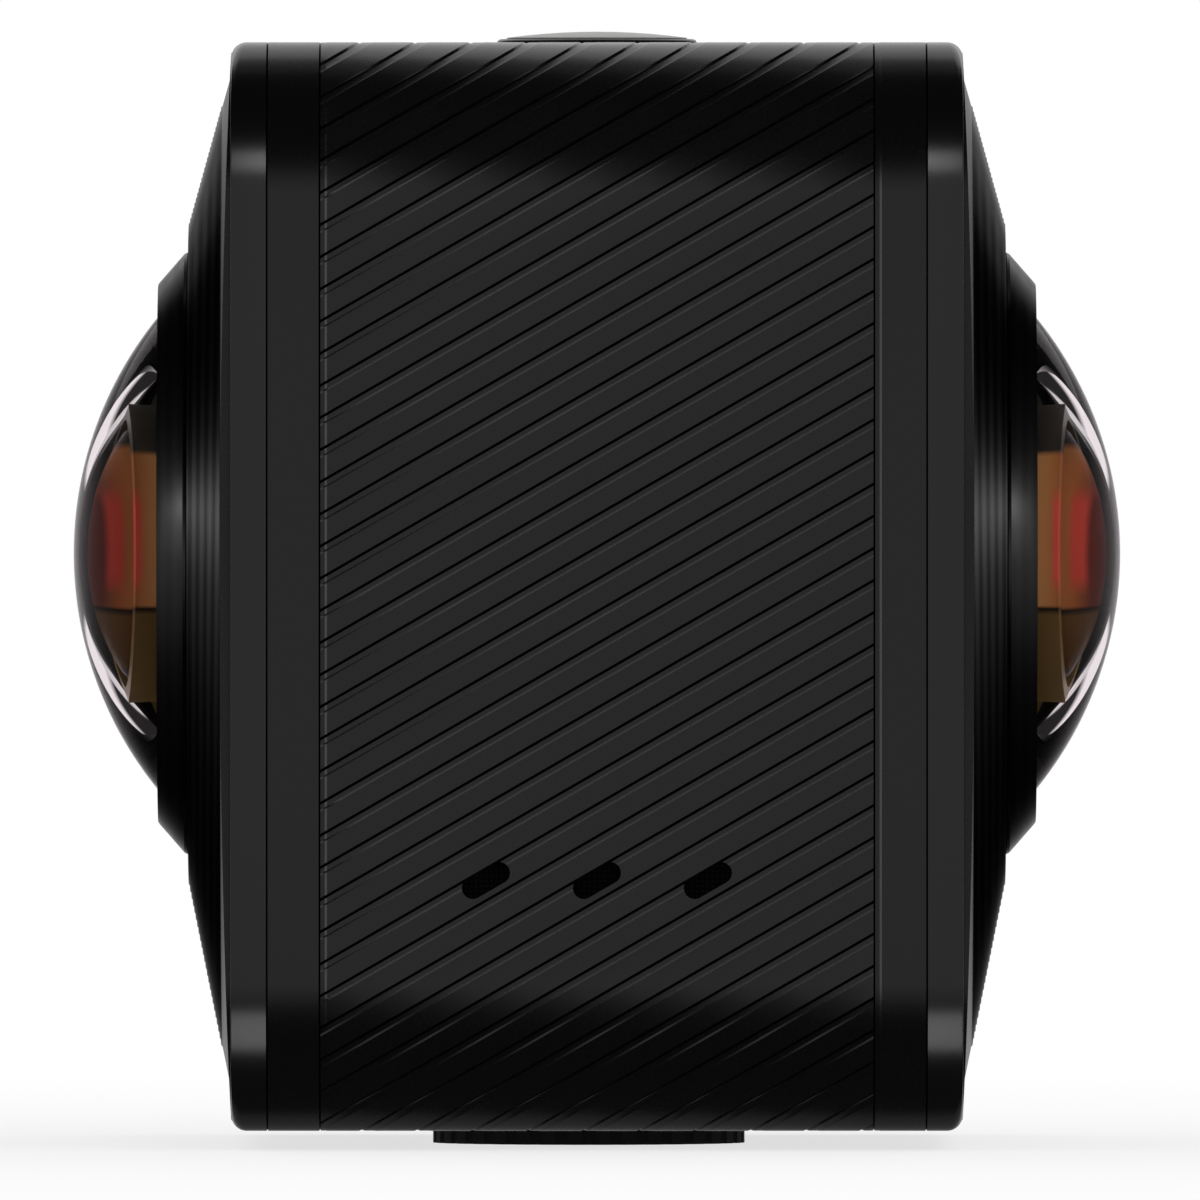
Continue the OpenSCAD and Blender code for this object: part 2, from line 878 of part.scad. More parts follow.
module port_bay() {
    bay_back_y = bay_floor_y - bay_floor_t;
    color("#1b1b1c") difference() {
        union() {
            translate([0, body_d / 2, door_z]) rotate([90, 0, 0])
                linear_extrude(body_d / 2 - bay_back_y) rounded(bay_w, bay_h, bay_corner_r);
            translate([0, wall_y, door_z]) rotate([90, 0, 0])
                linear_extrude(bay_lip_t) rounded(bay_w + 2 * bay_lip, bay_h + 2 * bay_lip, bay_corner_r);
        }
        difference() {
            translate([0, body_d / 2 + over, door_z]) rotate([90, 0, 0])
                linear_extrude(bay_depth + over) rounded(pocket_w, pocket_h, door_corner_r + door_gap);
            translate([pocket_w / 2 - ledge_w, bay_floor_y - over, door_z - pocket_h / 2])
                cube([ledge_w + over, door_y - fit - bay_floor_y + over, pocket_h]);
        }
        translate([-usb_w / 2 - slack, bay_back_y - over, main_top_z - slack])
            cube([usb_w + 2 * slack, bay_floor_t + 2 * over, usb_h + 2 * slack]);
        translate([-card_w / 2 - slack, bay_back_y - over, main_board_z - card_h - slack])
            cube([card_w + 2 * slack, bay_floor_t + 2 * over, card_h + 2 * slack]);
        translate([hinge_x, hinge_y, door_z - bay_h]) cylinder(r = pin_r + fit / 2, h = 2 * bay_h);
    }
}

module port_door() {
    color("#2a2a2b") difference() {
        union() {
            intersection() {
                translate([0, body_d / 2, door_z]) rotate([90, 0, 0])
                    linear_extrude(door_t) rounded(door_w, door_h, door_corner_r);
                translate([hinge_x, door_y, door_z - door_h / 2]) cube([door_w, door_t, door_h]);
            }
            translate([hinge_x, hinge_y, door_z - door_h / 2]) cylinder(r = hinge_r, h = door_h);
        }
        translate([hinge_x, hinge_y, door_z - door_h]) cylinder(r = pin_r + fit, h = 2 * door_h);
        translate([door_w / 2, body_d / 2 + nail_r - nail_depth, door_z - nail_w / 2])
            cylinder(r = nail_r, h = nail_w);
    }
}

module door_pin() {
    color("#a0a0a4") translate([hinge_x, hinge_y, door_z - pocket_h / 2 - bay_wall + slack])
        cylinder(r = pin_r, h = pocket_h + 2 * bay_wall - 2 * slack);
}

centre_sleeve();
front_frame();
rear_frame();
front_rim();
rear_rim();
front_plate();
rear_plate();
front_surround();
rear_surround();
front_lens_ring();
rear_lens_ring();
front_dome();
rear_dome();
front_lens_seal();
rear_lens_seal();
front_second_element();
rear_second_element();
front_third_element();
rear_third_element();
front_field_lens();
rear_field_lens();
front_barrel();
rear_barrel();
front_lens_holder();
rear_lens_holder();
front_image_sensor();
rear_image_sensor();
front_sensor_board();
rear_sensor_board();
front_flex();
rear_flex();
flex_connectors();
holder_screws();
case_screws();
board_screws();
chassis();
main_board();
processor();
memory_chip();
heat_spreader();
antenna();
usb_socket();
card_socket();
battery();
speaker();
speaker_mesh();
button_board();
switch_body();
switch_plunger();
shutter_button();
button_ring();
foot_pad();
tripod_bush();
port_bay();
port_door();
door_pin();
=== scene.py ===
import math

import bmesh
import bpy
from mathutils import Matrix, Vector


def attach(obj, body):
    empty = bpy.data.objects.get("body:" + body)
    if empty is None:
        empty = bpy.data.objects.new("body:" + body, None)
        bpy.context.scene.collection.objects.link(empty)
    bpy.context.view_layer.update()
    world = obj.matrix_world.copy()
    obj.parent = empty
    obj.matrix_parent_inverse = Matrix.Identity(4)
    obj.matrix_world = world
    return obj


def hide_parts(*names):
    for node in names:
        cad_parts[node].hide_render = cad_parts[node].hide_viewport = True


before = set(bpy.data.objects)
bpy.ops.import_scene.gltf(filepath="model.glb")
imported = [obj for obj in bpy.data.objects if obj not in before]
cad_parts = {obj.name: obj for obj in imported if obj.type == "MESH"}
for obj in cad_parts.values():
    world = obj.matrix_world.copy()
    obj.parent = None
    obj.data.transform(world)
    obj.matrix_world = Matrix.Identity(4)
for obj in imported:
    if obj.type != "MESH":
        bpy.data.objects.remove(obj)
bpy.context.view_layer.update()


# Chassis: a pressed aluminium spine, blasted to a dull grey. It stands on the floor of the sleeve and
# carries the boards, and its shelf holds the button's switch. The spreader is a plain rolled plate.

MM = 0.001
SHARP = 28
SPECKS = (0.3, 0.7)


def new_finish(name, colour, rough, metal=0.0, specular=0.5):
    """A principled finish, its node tree, its shader and the place on the piece."""
    material = bpy.data.materials.new(name)
    material.use_nodes = True
    tree = material.node_tree
    shader = tree.nodes["Principled BSDF"]
    shader.inputs["Base Color"].default_value = (*colour, 1)
    shader.inputs["Roughness"].default_value = rough
    shader.inputs["Metallic"].default_value = metal
    shader.inputs["Specular IOR Level"].default_value = specular
    place = tree.nodes.new("ShaderNodeTexCoord").outputs["Object"]
    return material, tree, shader, place


def speckle(tree, place, size, stretch=(1, 1, 1)):
    """Noise whose spots are about size millimetres across, longer where stretch is below 1."""
    turn = tree.nodes.new("ShaderNodeMapping")
    turn.inputs["Scale"].default_value = stretch
    noise = tree.nodes.new("ShaderNodeTexNoise")
    noise.inputs["Scale"].default_value = 1 / (size * MM)
    tree.links.new(place, turn.inputs["Vector"])
    tree.links.new(turn.outputs["Vector"], noise.inputs["Vector"])
    return noise.outputs["Fac"]


def shades(tree, value, stops):
    """The colour at value on a ramp of stops, each a place and a colour."""
    ramp = tree.nodes.new("ShaderNodeValToRGB")
    while len(ramp.color_ramp.elements) < len(stops):
        ramp.color_ramp.elements.new(0.5)
    for stop, (spot, colour) in zip(ramp.color_ramp.elements, stops):
        stop.position = spot
        stop.color = (*colour, 1)
    tree.links.new(value, ramp.inputs["Fac"])
    return ramp.outputs["Color"]


def tint(tree, shader, value, dark, light, low=0.35, high=0.65):
    """Colours the piece from dark to light as value goes from low to high."""
    tree.links.new(shades(tree, value, [(low, dark), (high, light)]), shader.inputs["Base Color"])


def feed(tree, socket, value):
    """Sets a socket to a number, or joins another socket to it."""
    if isinstance(value, (int, float)):
        socket.default_value = value
    else:
        tree.links.new(value, socket)


def mapped(tree, value, low, high, to_low=0.0, to_high=1.0):
    """Value, carried from the range low to high into another range and held inside it."""
    step = tree.nodes.new("ShaderNodeMapRange")
    feed(tree, step.inputs["Value"], value)
    feed(tree, step.inputs["From Min"], low)
    feed(tree, step.inputs["From Max"], high)
    feed(tree, step.inputs["To Min"], to_low)
    feed(tree, step.inputs["To Max"], to_high)
    return step.outputs["Result"]


def vary(tree, socket, value, low, high):
    """Sends the value of the specks, spread from low to high, to a socket of the shader."""
    tree.links.new(mapped(tree, value, *SPECKS, low, high), socket)


def emboss(tree, shader, value, depth):
    """Raises the surface by value times depth millimetres."""
    bump = tree.nodes.new("ShaderNodeBump")
    bump.inputs["Distance"].default_value = depth * MM
    tree.links.new(value, bump.inputs["Height"])
    tree.links.new(bump.outputs["Normal"], shader.inputs["Normal"])


def grained(name, colour, rough, size, depth, metal=0.0, specular=0.5, spread=0.15, stretch=(1, 1, 1),
            wear=0.05):
    """A finish with a fine grain: its colour, gloss and height all follow the same specks."""
    material, tree, shader, place = new_finish(name, colour, rough, metal, specular)
    specks = speckle(tree, place, size, stretch)
    tint(tree, shader, specks, [c * (1 - spread) for c in colour], [c * (1 + spread) for c in colour])
    vary(tree, shader.inputs["Roughness"], specks, max(rough - wear, 0.02), rough + wear)
    emboss(tree, shader, specks, depth)
    return material


def rounding_tree():
    """Joins the triangles of a solid and shades its curved faces smooth, with edges kept sharp."""
    tree = bpy.data.node_groups.new("smooth_curved_faces", "GeometryNodeTree")
    tree.interface.new_socket("Solid", in_out="INPUT", socket_type="NodeSocketGeometry")
    angle = tree.interface.new_socket("Sharp angle", in_out="INPUT", socket_type="NodeSocketFloat")
    angle.default_value = math.radians(SHARP)
    tree.interface.new_socket("Solid", in_out="OUTPUT", socket_type="NodeSocketGeometry")
    given = tree.nodes.new("NodeGroupInput")
    made = tree.nodes.new("NodeGroupOutput")
    plain = tree.nodes.new("GeometryNodeRemoveAttribute")
    plain.inputs["Name"].default_value = "custom_normal"
    merge = tree.nodes.new("GeometryNodeMergeByDistance")
    merge.inputs["Distance"].default_value = 1e-6
    smooth = tree.nodes.new("GeometryNodeSetShadeSmooth")
    smooth.domain = "FACE"
    bend = tree.nodes.new("GeometryNodeInputMeshEdgeAngle")
    test = tree.nodes.new("FunctionNodeCompare")
    test.operation = "GREATER_THAN"
    crease = tree.nodes.new("GeometryNodeSetShadeSmooth")
    crease.domain = "EDGE"
    crease.inputs["Shade Smooth"].default_value = False
    link = tree.links.new
    link(given.outputs["Solid"], plain.inputs["Geometry"])
    link(plain.outputs["Geometry"], merge.inputs["Geometry"])
    link(merge.outputs["Geometry"], smooth.inputs["Geometry"])
    link(smooth.outputs["Geometry"], crease.inputs["Geometry"])
    link(bend.outputs["Unsigned Angle"], test.inputs["A"])
    link(given.outputs["Sharp angle"], test.inputs["B"])
    link(test.outputs["Result"], crease.inputs["Selection"])
    link(crease.outputs["Geometry"], made.inputs["Solid"])
    return tree


SMOOTH = rounding_tree()


def dress(material, *names):
    """Gives carried-over solids a finish, and smooth shading on their curved faces."""
    for name in names:
        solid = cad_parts[name]
        solid.data.materials.clear()
        solid.data.materials.append(material)
        solid.modifiers.new("smooth", "NODES").node_group = SMOOTH


blasted = grained("blasted_aluminium", (0.35, 0.36, 0.37), 0.5, 0.12, 0.01, metal=1.0)
rolled = grained("rolled_aluminium", (0.5, 0.52, 0.54), 0.35, 0.2, 0.006, metal=1.0, stretch=(1, 0.05, 1))
dress(blasted, "chassis")
dress(rolled, "heat_spreader")


# Circuit boards: glass fibre laminate under green lacquer, with copper tracks that show as paler lines.
# The main board is screwed to the chassis, and one small board stands behind each lens.

def lacquered_board():
    material, tree, shader, place = new_finish("green_lacquer", (0.012, 0.07, 0.025), 0.35)
    tracks = tree.nodes.new("ShaderNodeTexBrick")
    tracks.inputs["Scale"].default_value = 1 / (1.6 * MM)
    tracks.inputs["Mortar Size"].default_value = 0.06
    tracks.inputs["Color1"].default_value = (0.010, 0.060, 0.020, 1)
    tracks.inputs["Color2"].default_value = (0.014, 0.075, 0.028, 1)
    tracks.inputs["Mortar"].default_value = (0.030, 0.130, 0.050, 1)
    tree.links.new(place, tracks.inputs["Vector"])
    tree.links.new(tracks.outputs["Color"], shader.inputs["Base Color"])
    emboss(tree, shader, tracks.outputs["Fac"], 0.02)
    return material


dress(lacquered_board(), "main_board", "front_sensor_board", "rear_sensor_board", "button_board")


# Chips and small parts: moulded black packages, a fired ceramic aerial, ivory connector housings, amber film
# between the boards, a foil-wrapped cell behind the grooved wall, a moulded speaker, and plated steel sockets
# and screws.

dress(grained("chip_moulding", (0.010, 0.010, 0.011), 0.6, 0.08, 0.006),
      "processor", "memory_chip", "switch_body")
dress(grained("fired_ceramic", (0.75, 0.72, 0.65), 0.7, 0.1, 0.01), "antenna")
dress(grained("ivory_moulding", (0.68, 0.65, 0.58), 0.5, 0.3, 0.006), "flex_connectors")
dress(grained("amber_film", (0.43, 0.16, 0.02), 0.3, 0.5, 0.004), "front_flex", "rear_flex")
dress(grained("foil_pouch", (0.27, 0.29, 0.31), 0.35, 1.8, 0.08, metal=0.6), "battery")
dress(grained("speaker_moulding", (0.020, 0.020, 0.022), 0.55, 0.15, 0.008), "speaker")
dress(grained("plated_steel", (0.45, 0.46, 0.47), 0.28, 0.25, 0.004, metal=1.0, stretch=(0.1, 1, 1)),
      "usb_socket", "card_socket")
dress(grained("screw_plating", (0.30, 0.30, 0.31), 0.3, 0.2, 0.004, metal=1.0),
      "holder_screws", "case_screws", "board_screws", "door_pin")


# Speaker cloth: a fine woven mesh of black thread, cut to a strip that lies behind the three slots. It is
# clamped between the wall and the speaker, and keeps dust out.

def sums(tree, operation, *values):
    """The result of a sum on sockets or numbers."""
    step = tree.nodes.new("ShaderNodeMath")
    step.operation = operation
    for socket, value in zip(step.inputs, values):
        feed(tree, socket, value)
    return step.outputs[0]


def woven_cloth():
    material, tree, shader, place = new_finish("speaker_cloth", (0.003, 0.003, 0.003), 0.9, specular=0.1)
    threads = []
    for way in ("X", "Z"):
        wave = tree.nodes.new("ShaderNodeTexWave")
        wave.bands_direction = way
        wave.inputs["Scale"].default_value = 1 / (0.9 * MM)
        tree.links.new(place, wave.inputs["Vector"])
        threads.append(wave.outputs["Fac"])
    cross = sums(tree, "MULTIPLY", *threads)
    tint(tree, shader, cross, (0.001, 0.001, 0.001), (0.006, 0.006, 0.006), 0.1, 0.9)
    emboss(tree, shader, cross, 0.04)
    return material


dress(woven_cloth(), "speaker_mesh")


# Lens holders: moulded black blocks, held by screws, that grip the barrels in front of the sensors. A soft
# rubber seal between barrel and dome keeps dust out.

dress(grained("holder_moulding", (0.014, 0.014, 0.015), 0.55, 0.15, 0.01),
      "front_lens_holder", "rear_lens_holder")
dress(grained("sensor_glass", (0.040, 0.035, 0.070), 0.08, 0.4, 0.002),
      "front_image_sensor", "rear_image_sensor")
dress(grained("seal_rubber", (0.006, 0.006, 0.006), 0.75, 0.1, 0.01, specular=0.2),
      "front_lens_seal", "rear_lens_seal")


# Lens elements: polished glass in turned metal barrels. The large second element has colours painted in its
# hollow, which the barrel's collar shares: painted reflections banded by depth and height, with a painted shadow
# line.
# The small third one is coated amber, and a plain block of glass stands before the sensor.

LENS_Z = 32.7
ENDS = {"front": 1, "rear": -1}
GLASS_INDEX = 1.5
CAUGHT = 0.6


def lathe(name, profile, material, axis="X", centre=(0, 0, 0), turns=128, sharp=SHARP, coats=None):
    """Turns a closed half profile of (distance along the axis, radius), in millimetres, into a solid.

    Coats gives the number of the material for some steps of the profile, and the rest get the first one.
    """
    mesh = bpy.data.meshes.new(name)
    made = bmesh.new()
    rings = []
    for along, radius in profile:
        if radius < 1e-6:
            rings.append([made.verts.new((along, 0, 0))] * turns)
            continue
        steps = [2 * math.pi * k / turns for k in range(turns)]
        rings.append([made.verts.new((along, radius * math.cos(a), radius * math.sin(a))) for a in steps])
    for step, (one, two) in enumerate(zip(rings, rings[1:] + rings[:1])):
        for k in range(turns):
            corners = [one[k], one[(k + 1) % turns], two[(k + 1) % turns], two[k]]
            corners = [v for i, v in enumerate(corners) if v not in corners[:i]]
            if len(corners) > 2:
                made.faces.new(corners).material_index = coats.get(step, 0) if coats else 0
    bmesh.ops.recalc_face_normals(made, faces=made.faces[:])
    if axis == "Z":
        made.transform(Matrix.Rotation(-math.pi / 2, 4, "Y"))
    made.transform(Matrix.Translation(centre))
    made.transform(Matrix.Scale(MM, 4))
    made.to_mesh(mesh)
    made.free()
    return placed(mesh, material, sharp)


def placed(mesh, materials, sharp=SHARP):
    """An object at the origin for a finished mesh, smooth except at its sharp edges."""
    for face in mesh.polygons:
        face.use_smooth = True
    mesh.set_sharp_from_angle(angle=math.radians(sharp))
    painted = [face.material_index for face in mesh.polygons]
    mesh.materials.clear()
    for material in materials if isinstance(materials, tuple) else (materials,):
        mesh.materials.append(material)
    mesh.polygons.foreach_set("material_index", painted)
    piece = bpy.data.objects.new(mesh.name, mesh)
    bpy.context.scene.collection.objects.link(piece)
    return piece


def to_rear(piece):
    """Turns a front piece's mesh half round the upright axis."""
    piece.data.transform(Matrix.Rotation(math.pi, 4, "Z"))


def stand_for(piece, body, slot, *names):
    """The piece rides on its body and stands for the solids of those names."""
    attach(piece, body)
    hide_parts(*names)


def both_ends(node, slot, make, clear=False):
    """Makes a piece for the front end and one for the rear end. Clear ones let the lamps' light through."""
    for end, side in ENDS.items():
        piece = make(f"{end}_{node}_shown")
        if side < 0:
            to_rear(piece)
        stand_for(piece, "body", slot, f"{end}_{node}")
        piece.visible_shadow = not clear


def arc(centre, radius, start, stop, count):
    """Points (along, radius) on a circle about a point of the axis, from one angle off it to another."""
    steps = [math.radians(start + (stop - start) * k / count) for k in range(count + 1)]
    return [(centre + radius * math.cos(a), radius * math.sin(a)) for a in steps]


def mixed(tree, share, one, two):
    """Two shaders in one, where share is the second one's part."""
    mix = tree.nodes.new("ShaderNodeMixShader")
    for socket, source in zip(mix.inputs, (share, one, two)):
        tree.links.new(source, socket)
    return mix.outputs["Shader"]


def glass(name, colour, shine):
    """Polished glass that bends light, with a coating that leaves it only a faint shine."""
    material, tree, shader, place = new_finish(name, colour, 0.0)
    tree.nodes.remove(shader)
    bend = tree.nodes.new("ShaderNodeBsdfRefraction")
    bend.inputs["Roughness"].default_value = 0.0
    bend.inputs["IOR"].default_value = GLASS_INDEX
    dim = [c * 0.97 for c in colour]
    cloud = shades(tree, speckle(tree, place, 4.0), [(0, dim), (1, colour)])
    tree.links.new(cloud, bend.inputs["Color"])
    gloss = tree.nodes.new("ShaderNodeBsdfAnisotropic")
    gloss.inputs["Color"].default_value = (1.0, 0.95, 0.98, 1)
    gloss.inputs["Roughness"].default_value = 0.02
    edge = tree.nodes.new("ShaderNodeLayerWeight")
    edge.inputs["Blend"].default_value = shine
    inside = tree.nodes.new("ShaderNodeFresnel")
    inside.inputs["IOR"].default_value = GLASS_INDEX
    side = tree.nodes.new("ShaderNodeNewGeometry")
    share = tree.nodes.new("ShaderNodeMix")
    tree.links.new(side.outputs["Backfacing"], share.inputs["Factor"])
    tree.links.new(edge.outputs["Fresnel"], share.inputs["A"])
    tree.links.new(mapped(tree, inside.outputs["Fac"], CAUGHT, 1), share.inputs["B"])
    whole = mixed(tree, share.outputs["Result"], bend.outputs["BSDF"], gloss.outputs["BSDF"])
    tree.links.new(whole, tree.nodes["Material Output"].inputs["Surface"])
    return material


SECOND_R = 7.4
SECOND_BASE = 22.55
SECOND_TIP = 26.4
SECOND_BALL = 11.0
SECOND_HOLLOW = 6.5
SECOND_T = 0.85
SECOND_BEVEL = 0.15
SECOND_STEPS = 24
second_edge = math.degrees(math.asin(SECOND_R / SECOND_BALL))
hollow_mid = SECOND_TIP - SECOND_T - SECOND_HOLLOW
hollow_edge = math.degrees(math.acos((SECOND_BASE - hollow_mid) / SECOND_HOLLOW))
second_front = arc(SECOND_TIP - SECOND_BALL, SECOND_BALL, 0, second_edge, SECOND_STEPS)
second_side = second_front[-1][0] - SECOND_BEVEL
second_front[-1] = (second_front[-1][0], SECOND_R - SECOND_BEVEL)
second_profile = (second_front + [(second_side, SECOND_R), (SECOND_BASE, SECOND_R)]
                  + arc(hollow_mid, SECOND_HOLLOW, hollow_edge, 0, SECOND_STEPS))
second_coats = {SECOND_STEPS: 1, **{k: 2 for k in range(SECOND_STEPS + 1, 2 * SECOND_STEPS + 3)}}
# Painted reflections for the hollow and the collars: amber, red and maroon by depth; by height a black painted
# shadow line, olive below it and painted shade above.
REFLECTION_START = 22.5
AMBER = (0.86, 0.44, 0.17)
RED = (0.92, 0.13, 0.09)
CORE = [(0.0, AMBER), (0.28, (0.66, 0.27, 0.09)), (0.36, RED), (0.52, RED), (0.62, (0.20, 0.033, 0.022)),
        (1.0, (0.10, 0.018, 0.014))]
AROUND = [(0.0, AMBER), (0.34, (0.60, 0.23, 0.07)), (0.60, (0.20, 0.05, 0.03)), (1.0, (0.09, 0.016, 0.013))]
CORE_Z = 0.7
CORE_EDGE = (1.8, 2.8)
SHADOW_LINE_Z = -2.9
SHADOW_LINE_EDGE = (0.12, 0.3)
SHADOW_LINE_BLACK = (0.01, 0.008, 0.006)
OLIVE_EDGE = (-3.1, -2.8)
OLIVE = (0.18, 0.11, 0.036)
DARK_EDGE = (5.0, 5.3)
SHADE_ABOVE = (0.045, 0.040, 0.032)


def painted_hollow_reflections():
    """The colours painted in the hollow as reflections: amber at its mouth, a red core, maroon at its tip.

    A black line of painted shadow and an olive part of painted reflection lie below the core, and a dark part of
    painted shade above it.
    """
    material, tree, shader, place = new_finish("hollow_reflection_paint", (0.4, 0.15, 0.04), 0.35, specular=0.1)
    spot = tree.nodes.new("ShaderNodeSeparateXYZ")
    tree.links.new(place, spot.inputs["Vector"])

    def share(value, low, high):
        return mapped(tree, value, low * MM, high * MM)

    def off(value, middle):
        return sums(tree, "ABSOLUTE", sums(tree, "SUBTRACT", value, middle * MM))

    def blend(value, one, two):
        step = tree.nodes.new("ShaderNodeMix")
        step.data_type = "RGBA"
        tree.links.new(value, step.inputs["Factor"])
        for socket, colour in (("A", one), ("B", two)):
            if isinstance(colour, tuple):
                step.inputs[socket].default_value = (*colour, 1)
            else:
                tree.links.new(colour, step.inputs[socket])
        return step.outputs["Result"]

    depth = share(off(spot.outputs["X"], 0), REFLECTION_START, SECOND_TIP)
    height = sums(tree, "SUBTRACT", spot.outputs["Z"], LENS_Z * MM)
    core = shades(tree, depth, CORE)
    around = shades(tree, depth, AROUND)
    colour = blend(share(off(height, CORE_Z), *CORE_EDGE), core, around)
    colour = blend(share(off(height, SHADOW_LINE_Z), *SHADOW_LINE_EDGE), SHADOW_LINE_BLACK, colour)
    colour = blend(share(height, *OLIVE_EDGE), OLIVE, colour)
    colour = blend(share(height, *DARK_EDGE), colour, SHADE_ABOVE)
    tree.links.new(colour, shader.inputs["Base Color"])
    emboss(tree, shader, speckle(tree, place, 1.2), 0.004)
    return material


hollow_painted_reflection = painted_hollow_reflections()
# The barrels' collars carry the same painted reflections, painted shadow line and painted shade.
dress(hollow_painted_reflection, "front_barrel", "rear_barrel")
bevel_frost = grained("frosted_bevel", (0.55, 0.50, 0.40), 0.6, 0.1, 0.004)
red_coating = glass("red_coated_glass", (0.93, 0.80, 0.75), 0.03)
both_ends("second_element", "red_glass", lambda name: lathe(
    name, second_profile, (red_coating, bevel_frost, hollow_painted_reflection), centre=(0, 0, LENS_Z),
    coats=second_coats), clear=True)

THIRD_R = 4.4
THIRD_BASE = 20.65
THIRD_TIP = 24.9
THIRD_BALL = 7.203
THIRD_STEPS = 20
third_edge = math.degrees(math.asin(THIRD_R / THIRD_BALL))
third_profile = (arc(THIRD_TIP - THIRD_BALL, THIRD_BALL, 0, third_edge, THIRD_STEPS)
                 + [(THIRD_BASE, THIRD_R), (THIRD_BASE, 0)])
amber_coating = grained("amber_coated_glass", (0.30, 0.085, 0.02), 0.12, 1.5, 0.004, spread=0.3)
both_ends("third_element", "amber_glass", lambda name: lathe(
    name, third_profile, amber_coating, centre=(0, 0, LENS_Z)))
dress(glass("field_lens_glass", (0.90, 0.93, 0.90), 0.2), "front_field_lens", "rear_field_lens")


# Foot: a black rubber disc with a fluted edge, stuck under the body round a turned brass bush that takes the
# tripod screw.

dress(grained("foot_rubber", (0.004, 0.004, 0.004), 0.7, 0.12, 0.012, specular=0.2), "foot_pad")
dress(grained("turned_brass", (0.45, 0.30, 0.10), 0.3, 0.15, 0.006, metal=1.0, stretch=(1, 1, 6)),
      "tripod_bush")


# Sleeve: the middle of the body, moulded in satin black plastic with slanted grooves all round. Screws
# in its four long corners hold the two ends against it.

BODY = 60.0
HALF = BODY / 2
FOOT_H = 1.0
MID_Z = FOOT_H + HALF
CORNER_R = 8.2
SLEEVE_X = 15.25
WALL = 1.6
CORNER_STEPS = 16
FLAT_STEPS = 4


def outline_rays():
    """Points on the body's outline, as the corner's centre and the way out from it, in depth and height."""
    rays = []
    reach = HALF - CORNER_R
    for quarter in range(4):
        first = math.pi / 2 * quarter
        turn = [first + math.pi / 2 * k / CORNER_STEPS for k in range(CORNER_STEPS + 1)]
        corner = Vector((math.cos(first + math.pi / 4), math.sin(first + math.pi / 4))) * math.sqrt(2) * reach
        rays += [(corner, Vector((math.cos(a), math.sin(a)))) for a in turn]
        way = Vector((math.cos(turn[-1]), math.sin(turn[-1])))
        along = Vector((-way.y, way.x)) * 2 * reach
        rays += [(corner + along * k / FLAT_STEPS, way) for k in range(1, FLAT_STEPS)]
    return rays


def sweep(name, profile_at, material, sharp=SHARP):
    """Carries a closed profile of (x, inset), which may change with the way out, round the body."""
    mesh = bpy.data.meshes.new(name)
    made = bmesh.new()
    loops = []
    for corner, way in outline_rays():
        loop = []
        for x, inset in profile_at(way):
            spot = corner + way * (CORNER_R - inset)
            loop.append(made.verts.new((x * MM, spot.x * MM, (spot.y + MID_Z) * MM)))
        loops.append(loop)
    for one, two in zip(loops, loops[1:] + loops[:1]):
        for k in range(len(one)):
            after = (k + 1) % len(one)
            made.faces.new([one[k], one[after], two[after], two[k]])
    bmesh.ops.recalc_face_normals(made, faces=made.faces[:])
    made.to_mesh(mesh)
    made.free()
    return placed(mesh, material, sharp)


GROOVE_ANGLE = 30
GROOVE_PITCH = 1.53
GROOVE_SLOPE = math.tan(math.radians(GROOVE_ANGLE))
GROOVE_RISE = GROOVE_PITCH / math.cos(math.radians(GROOVE_ANGLE))
GROOVE_SHIFT = 0.45
SLIT_HALF = 0.09
TOP_LINE = MID_Z + GROOVE_SHIFT + SLIT_HALF
SLIT_DEPTH = 0.26
LAND_DEPTH = 0.045
LAND_END = 0.44
RAMP_END = 0.55
SEAM_HALF = 0.05
SEAM_DEPTH = 0.35
REBATE_W = 0.29
REBATE_DEPTH = 0.05
REBATE_RUN = 0.12
SKIN = REBATE_DEPTH + 0.01
NUDGE = 1e-7


def inset_of(spot):
    """How far a point lies inside the body's outline, in millimetres."""
    reach = HALF - CORNER_R
    y, z = abs(spot.y) / MM, abs(spot.z / MM - MID_Z)
    if y > reach and z > reach:
        return CORNER_R - math.hypot(y - reach, z - reach)
    return HALF - max(y, z)


def cut_along_grooves(mesh):
    """Splits the outer skin along every line where the groove's profile bends."""
    made = bmesh.new()
    made.from_mesh(mesh)
    level = [0.0, SLIT_HALF, 2 * SLIT_HALF, LAND_END, RAMP_END]
    count = int((HALF + SLEEVE_X * GROOVE_SLOPE) / GROOVE_RISE) + 1
    lines = sorted(TOP_LINE + k * GROOVE_RISE - drop for k in range(-count, count + 2) for drop in level)
    normal = Vector((-GROOVE_SLOPE, 0, 1)).normalized()
    made.normal_update()
    skin = [f for f in made.faces if abs(f.normal.x) < 0.95 and all(inset_of(v.co) < SKIN for v in f.verts)]
    for face in skin:
        rest = face
        for line in lines:
            value = [(v.co.z - v.co.x * GROOVE_SLOPE) / MM - line for v in rest.verts]
            if max(value) < 1e-4:
                break
            if min(value) > -1e-4:
                continue
            parts = [rest] + rest.edges[:] + rest.verts[:]
            split = bmesh.ops.bisect_plane(made, geom=parts, dist=1e-8, plane_co=(0, 0, line * MM),
                                           plane_no=normal)
            faces = [f for f in split["geom"] if isinstance(f, bmesh.types.BMFace)]
            rest = max(faces, key=lambda f: f.calc_center_median().z - f.calc_center_median().x * GROOVE_SLOPE)
    made.to_mesh(mesh)
    made.free()


